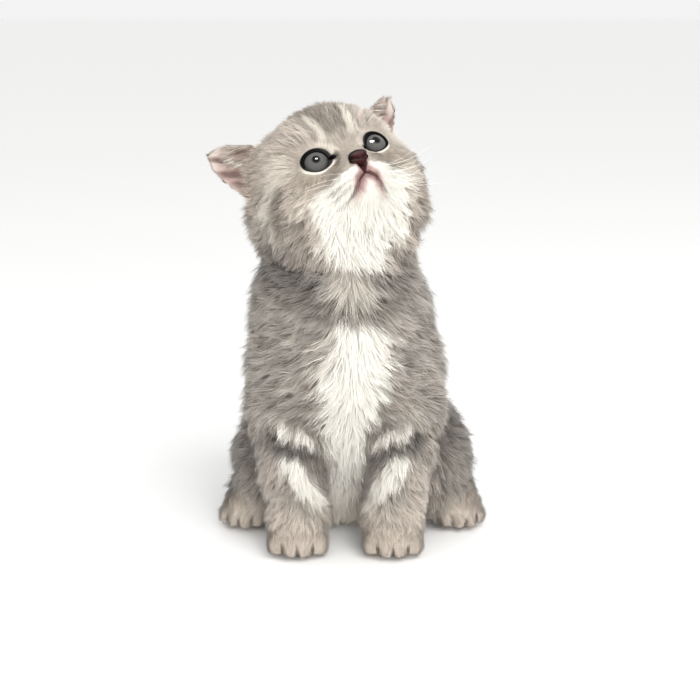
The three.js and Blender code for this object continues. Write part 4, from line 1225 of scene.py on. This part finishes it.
def whiskerTree():
    tree = bpy.data.node_groups.new("plantWhiskers", "GeometryNodeTree")
    tree.interface.new_socket("Geometry", in_out="INPUT", socket_type="NodeSocketGeometry")
    sockets = {}
    for name, key in (("Length", "length"), ("Root radius", "rootRadius"), ("Bow", "bow")):
        sockets[name] = tree.interface.new_socket(name, in_out="INPUT", socket_type="NodeSocketFloat")
        sockets[name].default_value = whisker[key] / 1000
    tree.interface.new_socket("Geometry", in_out="OUTPUT", socket_type="NodeSocketGeometry")
    given = addNode(tree, "NodeGroupInput")
    half = addNode(tree, "ShaderNodeMath", {"operation": "MULTIPLY", 1: 0.5}, {0: given.outputs["Length"]})
    bend = addNode(tree, "ShaderNodeCombineXYZ", links={"X": given.outputs["Bow"], "Z": half.outputs[0]})
    end = addNode(tree, "ShaderNodeCombineXYZ", links={"Z": given.outputs["Length"]})
    line = addNode(tree, "GeometryNodeCurveQuadraticBezier",
                   {"Resolution": whisker["bends"], "Start": (0, 0, 0)},
                   {"Middle": bend.outputs[0], "End": end.outputs[0]})
    along = addNode(tree, "GeometryNodeSplineParameter")
    thin = addNode(tree, "ShaderNodeMath", {"operation": "MULTIPLY_ADD", 1: -whisker["taper"], 2: 1.0},
                   {0: along.outputs["Factor"]})
    radius = addNode(tree, "ShaderNodeMath", {"operation": "MULTIPLY"},
                     {0: thin.outputs[0], 1: given.outputs["Root radius"]})
    ring = addNode(tree, "GeometryNodeCurvePrimitiveCircle",
                   {"Resolution": whisker["sides"], "Radius": 1.0})
    strand = addNode(tree, "GeometryNodeCurveToMesh", {"Fill Caps": True},
                     {"Curve": line.outputs[0], "Profile Curve": ring.outputs[0], "Scale": radius.outputs[0]})
    way = addNode(tree, "GeometryNodeInputNamedAttribute", {"data_type": "FLOAT_VECTOR", "Name": "way"})
    size = addNode(tree, "GeometryNodeInputNamedAttribute", {"data_type": "FLOAT", "Name": "reach"})
    aimed = addNode(tree, "FunctionNodeAlignRotationToVector", {"axis": "Z"}, {"Vector": way.outputs[0]})
    planted = addNode(tree, "GeometryNodeInstanceOnPoints", links={
        "Points": given.outputs["Geometry"], "Instance": strand.outputs[0], "Rotation": aimed.outputs[0],
        "Scale": size.outputs[0],
    })
    real = addNode(tree, "GeometryNodeRealizeInstances", links={"Geometry": planted.outputs[0]})
    coloured = addNode(tree, "GeometryNodeSetMaterial", {"Material": whiskerMaterial},
                       {"Geometry": real.outputs[0]})
    addNode(tree, "NodeGroupOutput", links={"Geometry": coloured.outputs[0]})
    return tree, sockets


def buildWhiskers(faceTree):
    roots, ways, reaches = [], [], []
    for side in (-1, 1):
        for rows, columns, first, rowStep, columnStep, size in whiskerGroups:
            for row in range(rows):
                for column in range(columns):
                    x, _, z = np.array(first) + np.array(rowStep) * row + np.array(columnStep) * column
                    start = toMetres(fromHead([side * x, -60, z + random.uniform(-0.3, 0.3)]))
                    hit = faceTree.ray_cast(Vector(start), Vector(headTurn @ np.array([0, 1.0, 0])))[0]
                    at = toHead(toPose(hit))
                    rise = 0.02 - 0.22 * row + (0.7 if rows == 1 else 0) + random.normal(0, 0.07)
                    ways.append(headTurn @ unit(np.array([side * 1.0, -0.42 + 0.12 * column, rise])))
                    roots.append(fromHead(at))
                    reaches.append(size * random.uniform(0.75, 1.15))
    mesh = meshFrom("whiskers", roots, [])
    wayLayer = mesh.attributes.new("way", "FLOAT_VECTOR", "POINT")
    wayLayer.data.foreach_set("vector", np.array(ways, np.float32).ravel())
    reachLayer = mesh.attributes.new("reach", "FLOAT", "POINT")
    reachLayer.data.foreach_set("value", np.array(reaches, np.float32))
    piece = pieceOf("whiskers", mesh)
    modifier = piece.modifiers.new("plant", "NODES")
    modifier.node_group, sockets = whiskerTree()
    for socket in sockets.values():
        modifier[socket.identifier] = socket.default_value
    plainMesh(piece)
    piece.data.shade_smooth()
    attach(piece, "root")
    print("whiskers planted:", len(roots))


buildWhiskers(BVHTree.FromPolygons([tuple(p) for p in toMetres(points)], triangles.tolist()))

# The stage, the light and the camera
floorMaterial, tree = newMaterial("matPaintedBoard")
finished(tree, addNode(tree, "ShaderNodeBsdfPrincipled", {"Base Color": rgba("#FBFBFA"), "Roughness": 0.6},
                       {"Normal": grained(tree, {"Scale": 60.0}, {"Strength": 0.02})}))
floorMesh = bpy.data.meshes.new("floor")
reach = 6.0  # metres each way
floorCorners = [(-reach, -reach, 0), (reach, -reach, 0), (reach, reach, 0), (-reach, reach, 0)]
floorMesh.from_pydata(floorCorners, [], [(0, 1, 2, 3)])
floorMesh.materials.append(floorMaterial)
floor = pieceOf("floor", floorMesh)

world = bpy.data.worlds.new("paleRoom")
bpy.context.scene.world = world
world.use_nodes = True
background = world.node_tree.nodes["Background"]
background.inputs["Color"].default_value = rgba("#FFFFFF")
background.inputs["Strength"].default_value = 0.9


def softBox(name, place, aim, size, watts):
    data = bpy.data.lights.new(name, "AREA")
    data.shape = "RECTANGLE"
    data.size, data.size_y = size
    data.energy = watts
    light = bpy.data.objects.new(name, data)
    bpy.context.scene.collection.objects.link(light)
    light.location = place
    light.rotation_euler = (Vector(aim) - Vector(place)).to_track_quat("-Z", "Y").to_euler()
    return light


# Where each aims in mm, the way to it in metres and how far along, its size in metres and its watts
lights = {
    "keyLight": (headCentre, (0.38, -0.49, 0.783), 0.9, (0.5, 0.5), 3.5),
    "frontLight": ((0, -30, 90), (0.2, -1.25, 0.3), 1.0, (0.9, 0.9), 9.5),
    "catchLight": (headCentre, (0.06, -0.39, 0.92), 0.9, (0.35, 0.23), 24.0),
}
for name, (aim, way, far, size, watts) in lights.items():
    aim = Vector(toMetres(aim))
    light = softBox(name, aim + Vector(way) * far, aim, size, watts)
    # the key and front lights make the shades, and the catch light only the glint in the eyes
    light.visible_glossy = name == "catchLight"
    light.visible_diffuse = name != "catchLight"

camera = {  # what it looks at, how far and how high it stands, and the size of what it sees
    "target": (2, -5, 81), "distance": 0.62, "elevation": 15.0,
    "millimetresPerPixel": 0.43, "pixels": 700, "sensor": 36.0,
}
target = Vector(toMetres(camera["target"]))
rise = math.radians(camera["elevation"])
back = Vector((0, -math.cos(rise), math.sin(rise)))
cameraData = bpy.data.cameras.new("camera")
cameraData.sensor_width = camera["sensor"]
seenWidth = camera["millimetresPerPixel"] * camera["pixels"]
cameraData.lens = camera["distance"] * 1000 / seenWidth * camera["sensor"]
cameraData.clip_start, cameraData.clip_end = 0.01, 50
cameraPiece = bpy.data.objects.new("camera", cameraData)
bpy.context.scene.collection.objects.link(cameraPiece)
cameraPiece.location = target + back * camera["distance"]
cameraPiece.rotation_euler = (-back).to_track_quat("-Z", "Y").to_euler()
bpy.context.scene.camera = cameraPiece
bpy.context.scene.view_settings.view_transform = "Standard"
